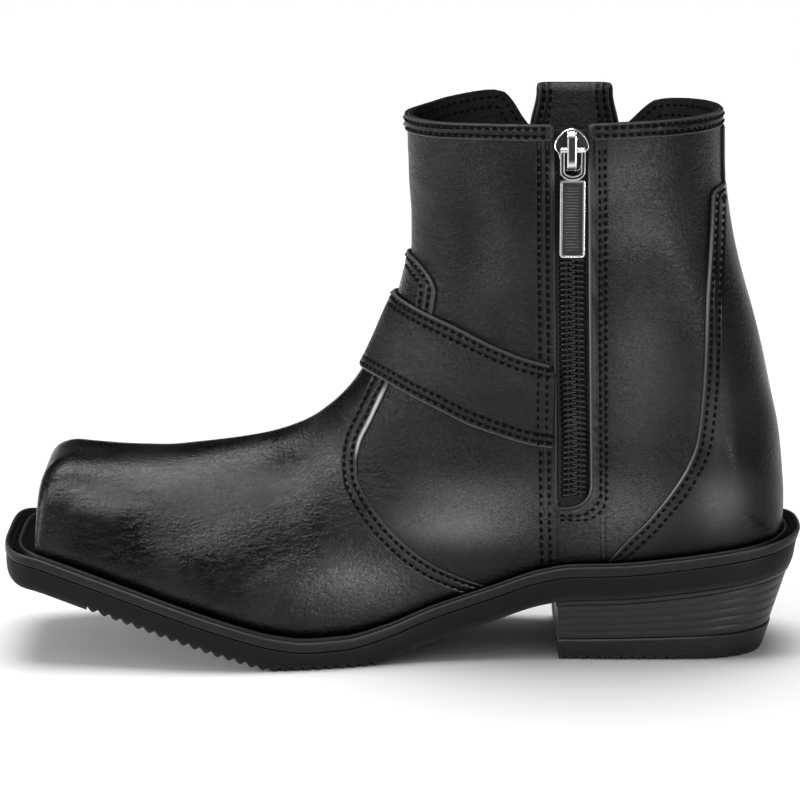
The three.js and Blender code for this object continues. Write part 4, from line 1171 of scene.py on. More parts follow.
def evenStops(far, pitch):
    # places at an even pitch, half a pitch in from both ends
    count = int(far[-1] / pitch)
    return (np.arange(count) + 0.5) * far[-1] / max(count, 1)


def addThreads(name, rows, slot="black_leather"):
    points, faces, _ = joined(rows)
    addPiece(name, points, faces, "waxedThread", slot=slot, sharp=60)
    print(name, len(points))


threadRows = []


def sewRow(path, inner, offset, keep=None, turn=1):
    # stitches at an even pitch along a side-view path lying on the leather at an offset
    s, t, miss = findRow(path[:, 0], path[:, 1])
    spots = lastSide(s, t, inner, valueAt(offset, path[:, 0]))
    good = miss < 0.4
    if keep is not None:
        good &= keep(path[:, 0], path[:, 1])
    if good.sum() < 3:
        return
    first = np.argmax(good)
    last = len(good) - np.argmax(good[::-1])
    path, spots = path[first:last], spots[first:last]
    far = runOf(spots)
    at = evenStops(far, stitchLook["pitch"])
    if not len(at):
        return
    x, z = pick(at, far, path).T
    centre, normal = onLeather(x, z, inner, valueAt(offset, x))
    ahead = pick(at + 0.6, far, spots) - pick(at - 0.6, far, spots)
    threadRows.append(capsules(centre, ahead, normal * turn, stitchLook["length"], stitchLook["radius"]))


def sewAll():
    rise = stitchLook["rise"]
    over = shell["seam"] + shell["overlay"] + rise
    strapOver = lambda x: strapLift(x) + shell["strap"] + rise
    edges = (vampEdge, counterEdge, strapTop, strapBottom)
    vamp, counter, top, low = (smoothPath(edge, 1.0) for edge in edges)
    for inner in (True, False):
        for gap in (1.6, 4.6):
            sewRow(beside(vamp, -gap), inner, over, keep=lambda x, z: strapDistance(x, z) < -0.3)
            sewRow(beside(counter, -gap), inner, over)
        for gap in (1.9, 4.6):
            sewRow(beside(top, -gap), inner, strapOver)
            sewRow(beside(low, gap), inner, strapOver)
    # two rows in front of the zip, over the strap and, below the slot, on the lap
    z = np.arange(37, 199, 1.0)
    for away in (9.0, 12.2):
        line = np.stack([zipAt(z) + away, z], 1)
        inStrap = strapDistance(line[:, 0], z) > -0.4
        sewRow(line[z < 58.5], True, 0.55 + rise)
        sewRow(line[~inStrap & (z > 58.5) & (z < 100)], True, rise)
        sewRow(line[~inStrap & (z >= 100)], True, rise)
        sewRow(line[inStrap], True, strapOver)
    # two rows behind the zip, turning forward under its lower end
    floor = zipPlace["floor"]
    r = 9.0
    a = np.linspace(0, np.pi / 2, 12)
    for away, drop in ((10.4, 3.4), (12.4, 5.2)):
        cx = zipAt(floor) - away + r
        cz = floor - drop + r
        up = np.arange(cz + 1, 199, 1.0)
        column = np.stack([zipAt(up) - away, up], 1)[::-1]
        bend = np.stack([cx - r * np.cos(a), cz - r * np.sin(a)], 1)
        flat = np.arange(cx + 1, zipAt(floor) + 6.5, 1.0)
        sewRow(np.concatenate([column, bend, np.stack([flat, flat * 0 + cz - r], 1)]), True, rise)
    # two rows on the lining, below the collar
    lining = smoothPath(collarOuter, 1.0)
    lining = lining[(lining[:, 0] > 20) & (lining[:, 0] < 148)]
    for drop in (2.6, 6.4):
        line = beside(lining, -drop)
        for part in (line[:, 0] < loopGap[0], line[:, 0] > loopGap[1]):
            for inner in (False, True):
                sewRow(line[part], inner, -shell["wall"] - rise, turn=-1)
    # two rows round the collar band, below the edge
    zipGap = [zipAt(205) + side * (zipPlace["half"] + 1.6) for side in (-1, 1)]
    for drop in (1.6, 4.4):
        for inner, line, gap in ((True, collarInner, zipGap), (False, collarOuter, loopGap)):
            path = beside(smoothPath(line, 1.0), -drop)
            path = path[(path[:, 0] > 20) & (path[:, 0] < 150)]
            for part in (path[:, 0] < gap[0], path[:, 0] > gap[1]):
                sewRow(path[part], inner, shell["seam"] + shell["band"] + rise)
    addThreads("upperStitches", threadRows)


sewAll()


# Pull loop

loopLook = {
    "x": loopAt + 0.9,
    "half": 14.4,
    "thick": 1.8,
    "top": 212.2,
    "foot": 179.5,
    "innerFoot": 183.0,
    "outside": 2.2,  # offsets of the strap's middle outside and inside of the shaft
    "inside": -3.4,
    "side": 22,
    "threads": (-0.86, -0.66, 0.66, 0.86),  # places of the sewn rows, as shares of the half width
}


def loopHalf(z):
    # the loop widens from its fold down to where it is sewn in
    return loopLook["half"] + 2.4 * smoothStep((208 - z) / 14) + 1.2 * smoothStep((194 - z) / 10)


def stripCap(count):
    # strips across a ring whose points j and count - j face each other; an even count ends in a point
    half = count // 2
    odd = count % 2
    j = np.arange(1, half - 1 + odd)
    strips = np.stack([j, j + 1, count - j - 1, count - j], 1)
    return np.concatenate([strips, [[0, 1, count - 1, -1], [half - 1, half, half + 1, -1]][: 2 - odd]])


def cappedFaces(rows, columns):
    # ring faces with a strip cap over the last ring and one turned round over the first
    cap = stripCap(columns)
    far = np.where(cap < 0, -1, cap + (rows - 1) * columns)
    return np.concatenate([ringFaces(rows, columns), far, turned(cap)])


def buildLoop():
    # a strap folded over the collar: a mid line up the outside, round the top and down the inside,
    # carrying a rounded rectangle of the strap's width and thickness
    look = loopLook
    outside, inside, side = look["outside"], look["inside"], look["side"]
    middle = (outside + inside) / 2
    reach = (outside - inside) / 2
    crown = look["top"] - look["thick"] / 2 - reach
    a = np.linspace(0, np.pi, 17)
    up = np.linspace(look["foot"], crown, 26)[:-1]
    down = np.linspace(crown, look["innerFoot"], 22)[1:]
    offset = np.concatenate([up * 0 + outside, middle + reach * np.cos(a), down * 0 + inside])
    z = np.concatenate([up, crown + reach * np.sin(a), down])
    corner = np.linspace(0, 2 * np.pi, side, endpoint=False)
    wide = np.tile(np.sign(np.cos(corner)) * np.abs(np.cos(corner)) ** 0.25, len(z))
    deep = np.tile(np.sign(np.sin(corner)) * np.abs(np.sin(corner)) ** 0.8, len(z))
    half = np.repeat(loopHalf(z), side)
    x = look["x"] + wide * half
    height = np.repeat(z, side)
    s, t, _ = findRow(x, np.minimum(height, 226))
    points = lastSide(s, t, False, np.repeat(offset, side))
    _, normal = onLeather(x, height, False, 0.0)
    # thickness runs along the path's own normal, which turns over at the top
    dz = np.gradient(z)
    do = np.gradient(offset)
    run = np.hypot(dz, do)
    push = deep * look["thick"] / 2
    points = points + normal * (np.repeat(dz / run, side) * push)[:, None]
    points[:, 2] += np.repeat(-do / run, side) * push
    points[:, 2] = np.minimum(points[:, 2], look["top"] + 0.05)
    faces = facingOut(points, cappedFaces(len(z), side))
    edge = np.where(np.abs(deep) > 0.3, (1 - np.abs(wide)) * half, 0)
    # painted sheen down the middle of the loop
    burnish = 14.0 * bell(wide / 0.5)
    addPiece("pullLoop", points, faces, "strapLeather", ("pull_loop",), sharp=50,
             edge=edge, worn=edge * 0, burnish=burnish)
    # sewn rows at each side, on the outside and on the inside
    rows = []
    out = look["thick"] / 2 + stitchLook["rise"]
    for place in look["threads"]:
        for foot, lift, turn in ((look["foot"], outside + out, 1), (look["innerFoot"], inside - out, -1)):
            zs = np.arange(foot + 1, 209.5, 3.1)
            p, n = onLeather(look["x"] + place * loopHalf(zs), zs, False, lift)
            rows.append(capsules(p, np.gradient(p, axis=0), n * turn, 2.2, 0.44))
    addThreads("loopStitches", rows)


buildLoop()


# Welt, sole and heel


def soleOutline(reach, back, front, step=1.6, fine=None):
    # inner and outer half widths over x: superellipse ends, feather line grown by reach between them
    b = bottomUnit
    phi = np.linspace(0, np.pi / 2, 30)
    u = 1 - np.cos(phi) ** (2 / b["backPower"])
    heelX = -back + (b["heelRound"] + back) * u
    v = 1 - np.cos(phi[::-1]) ** (2 / b["toePower"])
    toeFrom = length - b["toeRound"] + front / 2
    toeX = length + front - (length + front - toeFrom) * v
    middle = np.arange(b["heelRound"] + 1, length - b["toeRound"] - 2, step)
    if fine:
        low, high = fine
        coarse = middle[(middle < low) | (middle > high)]
        middle = np.unique(np.round(np.concatenate([coarse, np.arange(low, high, 0.36)]), 3))
    x = np.concatenate([heelX, middle, toeX])
    heelEnd = roundOff((x + back) / (b["heelRound"] + back), b["backPower"])
    toeEnd = roundOff((length + front - x) / (b["toeRound"] + front / 2), b["toePower"])
    grown = reach * weltShare(x / length)
    sides = (feather(x / length) * bootSize["ballWidth"] + grown for feather in (featherInner, featherOuter))
    return x, *(side * heelEnd * toeEnd for side in sides)


def addRings(name, rings, material, replaces, slot, sharp, openEnd=False):
    # body of rings, each of x, inner, outer, z and polish with painted highlight; below 0 that value paints
    # shade in a dark channel
    stacked = []
    for x, inner, outer, z, _ in rings:
        far = np.stack([x, -outer, z], 1)[1 : None if openEnd else -1]
        stacked.append(np.concatenate([np.stack([x, inner, z], 1), far[::-1]]))
    count = len(stacked[0])
    points = np.concatenate(stacked)
    polish = np.repeat([ring[4] for ring in rings], count)
    faces = facingOut(points, cappedFaces(len(rings), count))
    addPiece(name, points, faces, material, replaces, slot, sharp=sharp,
             polish=np.maximum(polish, 0), shade=np.maximum(-polish, 0))


def buildWelt():
    # profile from underneath, up the side, over the lip, through the sewing groove, over the bead, inwards
    b = bottomUnit
    rows = [  # inset, level from 0 underneath to 1 on top, rise in mm, polish with painted highlight (negative: painted shade in the dark channel)
        [12.0, 0, 0.0, 0], [0.5, 0, 0.0, 0], [0.1, 0, 0.35, 0.2], [0.0, 0, 0.9, 0], [0.0, 1, -1.0, 0],
        [0.05, 1, -0.5, 0.3], [0.3, 1, -0.12, 0.9], [0.6, 1, 0.0, 0.8], [1.2, 1, -0.05, 0.1],
        [1.7, 1, -0.45, -0.6], [2.3, 1, -1.5, -1], [4.5, 1, -1.5, -1], [4.9, 1, -0.5, -0.8],
        [5.1, 1, 0.0, -0.2], [5.4, 1, 0.3, 0.5], [5.8, 1, 0.4, 0.6], [6.2, 1, 0.2, 0.0],
        [6.7, 1, -0.5, -0.8], [7.3, 1, -1.0, -1], [13.0, 1, -1.0, -1],
    ]
    heelTop = weltTop(np.array([-9.0]))[0]
    rings = []
    for inset, level, rise, polish in rows:
        under = (1 - level) * b["weltThickness"]
        back = b["heelWelt"] + b["edgeRake"] * (heelTop - under - 48)
        x, inner, outer = soleOutline(b["weltWidth"] - inset, back - inset, b["toeWelt"] - inset)
        rings.append((x, inner, outer, weltTop(x) - under + rise, polish))
    addRings("weltStrip", rings, "weltLeather", ("welt",), "welt_leather", 50)
    # stitches lie in the groove
    x, inner, outer = soleOutline(b["weltWidth"] - 3.5, b["heelWelt"] - 3.5, b["toeWelt"] - 3.5, 1.0)
    loop = np.concatenate([np.stack([x, inner], 1), np.stack([x, -outer], 1)[1:-1][::-1]])
    loop = np.concatenate([loop, loop[:1]])
    path = np.concatenate([loop, (weltTop(loop[:, :1]) - 1.15)], 1)
    far = runOf(path)
    at = evenStops(far, 4.0)
    step = pick(at + 0.8, far, path) - pick(at - 0.8, far, path)
    normal = np.tile([0.0, 0.0, 1.0], (len(at), 1))
    addThreads("weltStitches", [capsules(pick(at, far, path), step, normal, 3.2, 0.55)], "welt_leather")


treadLook = {"pitch": 4.3, "gap": 3.4, "depth": 1.5, "from": 142.0, "to": 264.1}


def toothed(x, start, end):
    # triangular notch across the tread at every pitch
    look = treadLook
    place = np.mod(x - start, look["pitch"])
    cut = look["depth"] * np.clip(1 - np.abs(place - look["gap"] / 2) / (look["gap"] / 2), 0, 1)
    return np.where((x > start) & (x < end), cut, 0.0)


def buildOutsole():
    b = bottomUnit
    reach = b["weltWidth"] - b["weltStep"]
    front = b["toeWelt"] - b["weltStep"] / 2
    lines = {  # height at the heel's back, height over x
        "under": (32.0, lambda x: soleUnder(x) + toothed(x, treadLook["from"], treadLook["to"])),
        "side": (35.0, soleUnder),
        "top": (41.0, lambda x: weltTop(x) - b["weltThickness"] - b["seam"]),
    }
    rows = [  # inset, line, rise, polish with painted highlight
        [6.0, "under", 0.0, 0], [0.7, "under", 0.0, 0], [0.2, "under", 0.25, 0.5], [0.0, "side", 2.4, 0],
        [0.0, "top", -0.8, 0], [0.12, "top", -0.25, 0.5], [0.5, "top", 0.0, 0], [12.0, "top", 0.0, 0],
    ]
    rings = []
    for inset, line, rise, polish in rows:
        heelZ, height = lines[line]
        back = b["heelWelt"] - b["weltStep"] / 2 + b["edgeRake"] * (heelZ - 48)
        x, inner, outer = soleOutline(reach - inset, back - inset, front - inset, fine=(140, 266))
        rings.append((x, inner, outer, height(x) + rise, polish))
    addRings("soleSlab", rings, "soleRubber", ("outsole",), "sole_rubber", 32)


heelLook = {
    "breast": 87.0, "breastRake": 2.0, "rake": 11.5, "taper": 3.0, "lift": 7.8, "rand": 1.7, "topZ": 36.0,
    "lifts": 5
}


def heelRing(height, inset, polish, count):
    # D-shaped ring at a height that may vary along it: superellipse back, tapering sides, straight breast
    b = bottomUnit
    h = heelLook
    span = b["heelRound"] + b["heelWelt"]
    phi = np.linspace(0, np.pi / 2, 34)
    u = (1 - np.cos(phi) ** (2 / b["backPower"])) * span
    whole = h["breast"] + b["heelWelt"] - 8
    share = np.concatenate([u, u[-1] + (whole - u[-1]) * np.arange(1, count + 1) / count]) / whole
    z = np.full(len(share), 20.0)
    for _ in range(8):  # the rake moves x with z, and z follows x
        fall = 1 - z / h["topZ"]
        rear = -b["heelWelt"] + b["edgeRake"] * 12 + 0.6 + h["rake"] * fall + inset
        fore = h["breast"] - h["breastRake"] * fall - inset
        x = rear + (fore - rear) * share
        z = height(x)
    fall = 1 - z / h["topZ"]
    end = roundOff((x - rear) / span, b["backPower"])

    def side(feather):
        wide = feather(np.maximum(x, 0) / length) * bootSize["ballWidth"]
        wide = wide + (b["weltWidth"] - b["weltStep"]) * weltShare(0.0) - h["taper"] * fall - inset
        return np.maximum(wide, 0) * end

    return x, side(featherInner), side(featherOuter), z, polish


def liftTop(x):
    fore = heelLook["breast"] + bottomUnit["heelWelt"]
    return heelLook["lift"] + 3 * np.maximum(0, 1 - (x + bottomUnit["heelWelt"]) / fore) ** 1.5


def randUnder(x):
    return soleUnder(x) - bottomUnit["seam"] - heelLook["rand"]


def addHeelPart(name, rows, material, replaces, slot, sharp, count=150):
    # rows are a line over x, inset, rise and polish with painted highlight
    rings = [heelRing(lambda x: line(x) + rise, inset, polish, count) for line, inset, rise, polish in rows]
    addRings(name, rings, material, replaces, slot, sharp, openEnd=True)


def buildHeel():
    # thin rand under the sole
    randTop = lambda x: randUnder(x) + heelLook["rand"]
    rows = [(randUnder, 4, 0, 0), (randUnder, 0.25, 0, 0.6), (randUnder, 0, 0.3, 0.3)]
    rows += [(randTop, 0, -0.3, 0.3), (randTop, 0.25, 0, 0.6), (randTop, 4, 0, 0)]
    addHeelPart("heelRandLayer", rows, "heelStackLeather", ("heel_rand",), "heel_leather", 40)
    # stacked leather lifts with a fine joint between each two
    lifts = heelLook["lifts"]
    low = lambda x: liftTop(x) + bottomUnit["seam"]
    high = lambda x: randUnder(x) - bottomUnit["seam"]
    joint = lambda k: lambda x: low(x) + (high(x) - low(x)) * k / lifts
    rows = [(joint(0), 4.0, 0.0, 0), (joint(0), 0.72, 0.0, 0.2), (joint(0), 0.5, 0.3, 0.2)]
    for k in range(1, lifts):
        rows += [(joint(k), 0.5, -0.14, 0.2), (joint(k), 0.6, 0.0, 0.0), (joint(k), 0.5, 0.14, 0.2)]
    rows += [(joint(lifts), 0.5, -0.3, 0.2), (joint(lifts), 0.72, 0.0, 0.2), (joint(lifts), 4.0, 0.0, 0)]
    addHeelPart("heelLifts", rows, "heelStackLeather", ("heel_stack",), "heel_leather", 60)
    # rubber top lift with small notches round its lower edge
    under = lambda x: toothed(x, 12.0, 83.0) * 0.8
    flat = lambda x: 0 * x
    rows = [(under, 3.0, 0.0, 0), (under, 0.5, 0.0, 0), (under, 0.15, 0.3, 0.3), (flat, 0.0, 1.9, 0)]
    rows += [(liftTop, 0.0, -1.0, 0), (liftTop, 0.0, -0.4, 0.5)]
    rows += [(liftTop, 0.35, 0.0, 0.6), (liftTop, 4.0, 0.0, 0)]
    addHeelPart("topLiftRubber", rows, "topLiftRubber", ("top_lift",), "sole_rubber", 32, 240)


buildWelt()
buildOutsole()
buildHeel()
print("bottom unit done")


# Zip

zipLook = {"pitch": 2.1, "low": 64.5, "high": 196.0, "sides": 7, "depth": -2.2, "cord": 0.7}


def tube(path, radius, sides):
    # round tube along a path of points, with flat ends closed by fans
    step = unit(np.gradient(path, axis=0))
    guide = np.array([0.0, 0.0, 1.0]) if abs(step[:, 2]).max() < 0.9 else np.array([1.0, 0.0, 0.0])
    u = unit(np.cross(step, guide))
    v = np.cross(step, u)
    a = np.arange(sides) / sides * 2 * np.pi
    radius = np.broadcast_to(radius, (len(path),))[:, None, None]
    ring = np.cos(a)[None, :, None] * u[:, None] + np.sin(a)[None, :, None] * v[:, None]
    points = (path[:, None] + radius * ring).reshape(-1, 3)
    return points, facingOut(points, tubeFaces(len(path), sides))


def buildTeeth():
    # one coil turn is a hooked tube in its own frame (across, out, up), half a pitch apart on the two sides
    look = zipLook
    turn = smoothPath(
        [[-4.1, -0.7, -0.75], [-4.45, -0.1, -0.6], [-4.1, 0.5, -0.4], [-2.7, 0.85, -0.12], [-0.9, 0.9, 0.05],
         [0.55, 0.75, 0.2], [1.15, 0.25, 0.25], [1.0, -0.35, 0.2]], 0.75,
    )
    spread = np.interp(turn[:, 0], [-4.5, -2.5, -0.8, 0.6, 1.2], [0.7, 0.78, 0.6, 0.52, 0.5])
    points, faces = tube(turn, spread, look["sides"])
    shape = points + np.array([0, 0.2, 0])
    bodies = []
    for side, lift in ((1, 0.0), (-1, look["pitch"] / 2)):
        heights = np.arange(look["low"], look["high"], look["pitch"]) + lift
        made, normal = onLeather(zipAt(heights), heights, True, look["depth"])
        up = np.tile([zipPlace["lean"], 0.0, 1.0], (len(heights), 1))
        up = unit(up - normal * (up * normal).sum(1)[:, None])
        made = made[:, None]
        for k, way in enumerate((np.cross(up, normal) * side, normal, up)):
            made = made + shape[None, :, k, None] * way[:, None]
        bodies.append(copies(made, facingOut(made[0] - made[0].mean(0), faces)))
    # the cord that each row of turns is woven over
    heights = np.arange(look["low"] - 1, look["high"] + 2, 1.0)
    centre, normal = onLeather(zipAt(heights), heights, True, look["depth"])
    for side in (1, -1):
        bodies.append(tube(centre + np.array([2.2 * side, 0.0, 0.0]) + normal * 0.15, look["cord"], 8))
    points, faces, _ = joined(bodies)
    addPiece("zipTeethRows", points, faces, "zipTeeth", ("zip_coil",), "zip_metal", sharp=50)


def plateRings(outline, rows, centre):
    # nested outlines moved out along y, closed by fans round a centre; each row is inset, y, polish
    rings = [np.insert(outline(inset), 1, y, axis=1) for inset, y, _ in rows]
    count = len(rings[0])
    heart = len(rings) * count
    middles = [[centre[0], rows[k][1], centre[1]] for k in (0, -1)]
    points = np.concatenate([*rings, middles])
    j = np.arange(count)
    after = (j + 1) % count
    end = heart - count
    near = np.stack([after, j, j * 0 + heart, j * 0 - 1], 1)
    far = np.stack([end + j, end + after, j * 0 + heart + 1, j * 0 - 1], 1)
    faces = np.concatenate([ringFaces(len(rings), count), near, far])
    polish = np.concatenate([np.repeat([row[2] for row in rows], count), [rows[0][2], rows[-1][2]]])
    return points, facingOut(points, faces), polish


def sweptBar(path, way, inPlane, fixed, axis):
    # a section carried along a flat path: inPlane runs along way, fixed along the axis square to the path
    n, m = len(path), len(inPlane)
    points = np.repeat(path, m, 0) + np.repeat(way, m, 0) * np.tile(inPlane, n)[:, None]
    points = np.insert(points, axis, np.tile(fixed, n), axis=1)
    return points, facingOut(points, tubeFaces(n, m))


def mirrored(right, middle=()):
    # a closed section (across, out, polish) from its right half, whose rows run from the bottom to the top
    right = np.array(right)
    return np.roll(np.concatenate([right, *middle, right[::-1] * [-1, 1, 1]]), 1, axis=0)


def shrink(shape, inset):
    # moves a closed outline inwards along its own normals
    step = unit(np.roll(shape, -1, 0) - np.roll(shape, 1, 0))
    inwards = np.stack([-step[:, 1], step[:, 0]], 1)
    if ((shape.mean(0) - shape) * inwards).sum() < 0:
        inwards = -inwards
    return shape + inwards * inset


def evenLoop(corners, count):
    loop = np.concatenate([corners, corners[:1]])
    far = runOf(loop)
    return pick(np.linspace(0, far[-1], count, endpoint=False), far, loop)


sliderLook = {
    "plate": 2.2, "gap": 0.3, "bar": 2.2, "bridge": 1.2, "half": 1.8,
    "foot": 190.0, "top": 206.0, "heart": 198.5
}
sliderMiddle = zipAt(198.0)
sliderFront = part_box("zip_slider")[1][1] * 1000 - bootSize["shift"][1]
plateFront = sliderFront - sliderLook["bridge"] - 2 * sliderLook["gap"] - sliderLook["bar"]
plateBack = plateFront - sliderLook["plate"]


def buildSlider():
    # crown plate, stem down to the coil, and the bridge that holds the pull's bar
    look = sliderLook
    middle, back, front, heart = sliderMiddle, plateBack, plateFront, (sliderMiddle, look["heart"])
    halfWidth = monotone(
        [190.0, 191.0, 193.5, 196.6, 198.3, 199.2, 201.5, 203.8, 205.4, 206.0],
        [2.7, 3.5, 4.2, 4.9, 6.3, 6.5, 5.9, 4.2, 2.2, 0.35],
    )
    upper = look["top"] - 6.2 * np.linspace(1, 0, 18) ** 1.6
    z = np.concatenate([np.linspace(look["foot"], 196, 10), np.linspace(196.4, 199.6, 12), upper])
    right = np.stack([middle + halfWidth(z), z], 1)
    left = np.stack([middle - halfWidth(z), z], 1)[::-1]
    crown = evenLoop(np.concatenate([right, left]), 96)
    rows = [
        [0.8, back, 0.0], [0.1, back + 0.1, 0.1], [0.0, back + 0.5, 0.2], [0.0, front - 0.45, 0.4],
        [0.12, front - 0.1, 1.0], [0.3, front, 1.0], [0.48, front - 0.05, 0.8], [0.62, front - 0.35, 0.0],
        [1.3, front - 0.33, 0.0], [2.2, front - 0.3, 0.0],
    ]
    bodies = [plateRings(lambda inset: shrink(crown, inset), rows, heart)]
    corners = [[middle + side * 4.0, z] for z, side in ((194.6, -1), (194.6, 1), (203.2, 1), (203.2, -1))]
    stem = evenLoop(np.array(corners), 64)
    rows = [[0.3, back - 2.0, 0], [0, back - 1.7, 0], [0, back + 0.4, 0]]
    bodies.append(plateRings(lambda inset: shrink(stem, inset), rows, heart))
    # bridge: bar with a sunk face over an arched path
    half = look["half"]
    deep = look["bridge"] / 2
    reach = front + 2 * look["gap"] + look["bar"] + deep
    arch = smoothPath(
        [[front - 0.6, 191.3], [front + 1.2, 191.2], [reach - 0.9, 191.9], [reach, 193.4], [reach, 196.0],
         [reach, 200.0], [reach, 202.8], [reach - 0.9, 204.2], [front + 1.2, 204.8],
         [front - 0.6, 204.7]], 0.6,
    )
    step = unit(np.gradient(arch, axis=0))
    section = mirrored(
        [[half - 0.12, -deep, 0.3], [half, -deep + 0.12, 0.6], [half, deep - 0.3, 0.9],
         [half - 0.12, deep - 0.06, 1.0], [half - 0.4, deep, 1.0], [half - 0.6, deep - 0.12, 0.5],
         [half - 0.72, deep - 0.2, 0.0]], [[[0, deep - 0.2, 0.0]]],
    )
    across, out, polish = section.T
    points, faces = sweptBar(arch, np.stack([step[:, 1], -step[:, 0]], 1), out, middle + across, 0)
    height = np.repeat(arch[:, 1], len(section))
    ends = bell((height - 192.6) / 1.0) + bell((height - 204.2) / 0.7)
    bodies.append((points, faces, np.clip(np.tile(polish, len(arch)) + ends, 0, 1)))
    points, faces, polish = joined(bodies)
    addPiece("zipSliderBody", points, faces, "gunmetal", ("zip_slider",), "zip_metal", sharp=30,
             polish=polish)


pullLook = {
    "half": 4.7, "thick": 1.5, "arm": 0.85, "barZ": 198.0, "window": 190.2, "bow": 2.6, "tabLow": 158.0,
    "tabHigh": 187.0, "corner": 1.3, "rib": 2.7, "ribPitch": 1.1
}


def buildPull():
    # bar through the bridge, two arms joined by a rounded window, and a tab with a raised rim
    look = pullLook
    half, arm, corner = look["half"], look["arm"], look["corner"]
    middle = sliderMiddle - 0.45
    bar = plateFront + sliderLook["gap"] + sliderLook["bar"] / 2
    h = look["thick"] / 2
    low, high = bar - h, bar + h
    x = np.array([-half, -half + 0.15, -half + 0.5, half - 0.5, half - 0.15, half]) + middle
    path = np.stack([x, x * 0 + bar, x * 0 + look["barZ"]], 1)
    bodies = [(*tube(path, np.array([0.6, 0.95, 1.1, 1.1, 0.95, 0.6]), 16), 0.8)]
    # arms and the U of the window as one swept bar: a shallow trough between two bright edges
    side = half - arm
    a = np.linspace(0, np.pi, 19)
    straight = np.linspace(198.6, 190.4, 8)
    path = np.concatenate([
        np.stack([np.full(8, -side), straight], 1),
        np.stack([-side + side * (1 - np.cos(a)), look["window"] - look["bow"] * np.sin(a)], 1),
        np.stack([np.full(8, side), straight[::-1]], 1),
    ]) + np.array([middle, 0])
    step = unit(np.gradient(path, axis=0))
    section = mirrored(
        [[arm - 0.15, -h, 0.2], [arm, -h + 0.15, 0.4], [arm, h - 0.2, 0.7], [arm - 0.12, h, 1.0],
         [arm - 0.34, h, 0.9], [arm - 0.5, h - 0.16, 0.0]]
    )
    across, out, polish = section.T
    swept = sweptBar(path, np.stack([-step[:, 1], step[:, 0]], 1), across, bar + out, 1)
    bodies.append((*swept, np.tile(polish, len(path))))

    def tab(inset):
        # rounded rectangle: corner arcs at shrinking radius, counter-clockwise
        inset = max(inset, 1e-6)
        radius = max(corner - inset, 0.25)
        turn = np.linspace(0, np.pi / 2, 8)
        spots = []
        for sx, sz in ((1, 1), (-1, 1), (-1, -1), (1, -1)):
            ax = middle + sx * half - sx * (inset + radius)
            az = (look["tabHigh"] if sz > 0 else look["tabLow"]) - sz * (inset + radius)
            angle = turn if sx * sz > 0 else turn[::-1]
            spots.append(np.stack([ax + sx * radius * np.cos(angle), az + sz * radius * np.sin(angle)], 1))
        return np.concatenate(spots)

    rows = [
        [0.5, low, 0.3], [0.12, low + 0.05, 0.5], [0.0, low + 0.25, 0.6], [0.0, high - 0.25, 0.7],
        [0.12, high - 0.04, 1.0], [0.25, high, 1.0], [0.42, high, 0.9], [0.55, high - 0.1, 0.15],
        [0.85, high - 0.12, 0.15], [0.95, high - 0.15, 0.6], [1.1, high - 0.55, 0.0],
        [1.25, high - 0.57, 0.0],
    ]
    bodies.append(plateRings(tab, rows, (middle, 173.0)))
    # plain raised ribs across the panel
    x = middle + np.linspace(-look["rib"], look["rib"], 6)
    for z in np.arange(160.8, 184.8, look["ribPitch"]):
        path = np.stack([x, x * 0 + high - 0.6, x * 0 + z], 1)
        bodies.append((*tube(path, np.array([0.1, 0.24, 0.28, 0.28, 0.24, 0.1]), 6), 0.04))
    points, faces, polish = joined(bodies)
    addPiece("zipPullTab", points, faces, "gunmetal", ("zip_pull",), "zip_metal", "zip_pull", 30,
             polish=polish)


buildTeeth()
buildSlider()
buildPull()
print("zip done")

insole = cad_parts["insole"].data.materials
insole.clear()
insole.append(bpy.data.materials["insoleLeather"])


# Floor, light and camera

studio = {"floor": (0.92, 0.92, 0.92), "reach": 14.0, "world": 0.34, "sun": 2.45, "sunAngle": 38}
softboxes = {  # place, aim, size, power, whether it only fills the shade or else gives only reflections
    "bandBox": ((0.6, 0.95, 1.2), (0.08, 0.03, 0.08), (0.65, 0.18), 11.0, False),  # band on toe and shaft
    "ballBox": ((0.0, 0.8, 1.38), (0.05, 0.03, 0.08), (0.55, 0.16), 8.0, False),  # steeper, over the ball
    "toeFill": ((1.4, 0.2, 0.3), (0.12, 0.0, 0.0), (0.6, 0.5), 15.0, True),  # lightens the floor at the toe
    "toeBox": ((1.5, 0.7, 0.45), (0.1, 0.0, 0.0), (0.7, 0.7), 12.0, False),  # the light on the toe's end
    "heelBox": ((-0.85, 1.2, 0.4), (-0.12, 0.02, 0.1), (0.16, 0.7), 12.0, False),  # narrow, on the counter
}
photoCamera = {
    "place": (0.0015, 1.5035, 0.404), "aim": (0.0015, 0.0035, 0.0944), "lens": 179.02, "sensor": 36.0
}


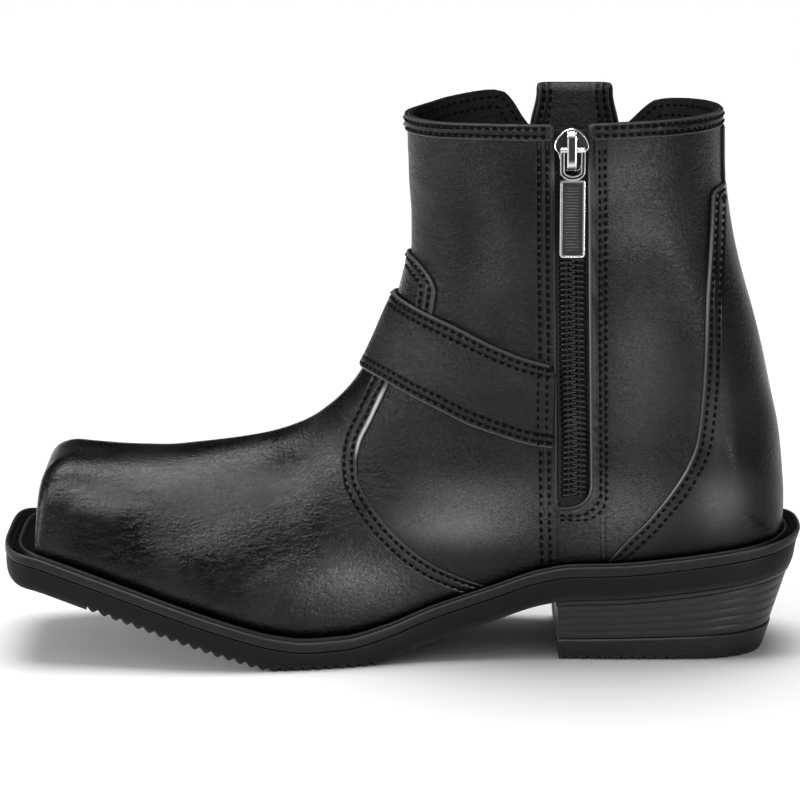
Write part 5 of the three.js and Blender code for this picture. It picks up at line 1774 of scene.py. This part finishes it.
def linked(name, data, place=(0, 0, 0), way=None):
    # an object in the scene, looking along a direction
    made = bpy.data.objects.new(name, data)
    made.location = place
    if way:
        made.rotation_mode = "QUATERNION"
        made.rotation_quaternion = way.to_track_quat("-Z", "Y")
    bpy.context.scene.collection.objects.link(made)
    return made


def buildFloor():
    mesh = bpy.data.meshes.new("studioFloor")
    far = studio["reach"]
    mesh.from_pydata([(-far, -far, 0), (far, -far, 0), (far, far, 0), (-far, far, 0)], [], [(0, 1, 2, 3)])
    tree = newTree("paleFloor")
    values = {"Base Color": (*studio["floor"], 1), "Roughness": 0.9, "Specular IOR Level": 0.1}
    shader = node(tree, "ShaderNodeBsdfPrincipled", values)
    node(tree, "ShaderNodeOutputMaterial", {"Surface": shader.outputs["BSDF"]})
    mesh.materials.append(bpy.data.materials["paleFloor"])
    floor = linked("studioFloor", mesh)


def buildLights():
    world = bpy.data.worlds.new("softStudio")
    bpy.context.scene.world = world
    world.use_nodes = True
    world.node_tree.nodes["Background"].inputs["Color"].default_value = (1, 1, 1, 1)
    world.node_tree.nodes["Background"].inputs["Strength"].default_value = studio["world"]
    world.cycles_visibility.glossy = False
    sun = bpy.data.lights.new("softSun", "SUN")
    sun.energy = studio["sun"]
    sun.angle = np.radians(studio["sunAngle"])
    linked("softSun", sun, way=Vector((-0.03, 0.18, -1.0)))
    for name, (place, aim, size, power, fills) in softboxes.items():
        light = bpy.data.lights.new(name, "AREA")
        light.shape = "RECTANGLE"
        light.size, light.size_y = size
        light.energy = power
        lamp = linked(name, light, place, Vector(aim) - Vector(place))
        lamp.visible_diffuse = fills
        lamp.visible_glossy = not fills


def buildCamera():
    camera = bpy.data.cameras.new("photoCamera")
    camera.lens = photoCamera["lens"]
    camera.sensor_width = photoCamera["sensor"]
    camera.clip_end = 50.0
    place = Vector(photoCamera["place"])
    bpy.context.scene.camera = linked("photoCamera", camera, place, Vector(photoCamera["aim"]) - place)


buildFloor()
buildLights()
buildCamera()
bpy.context.scene.view_settings.view_transform = "Standard"
print("studio ready")
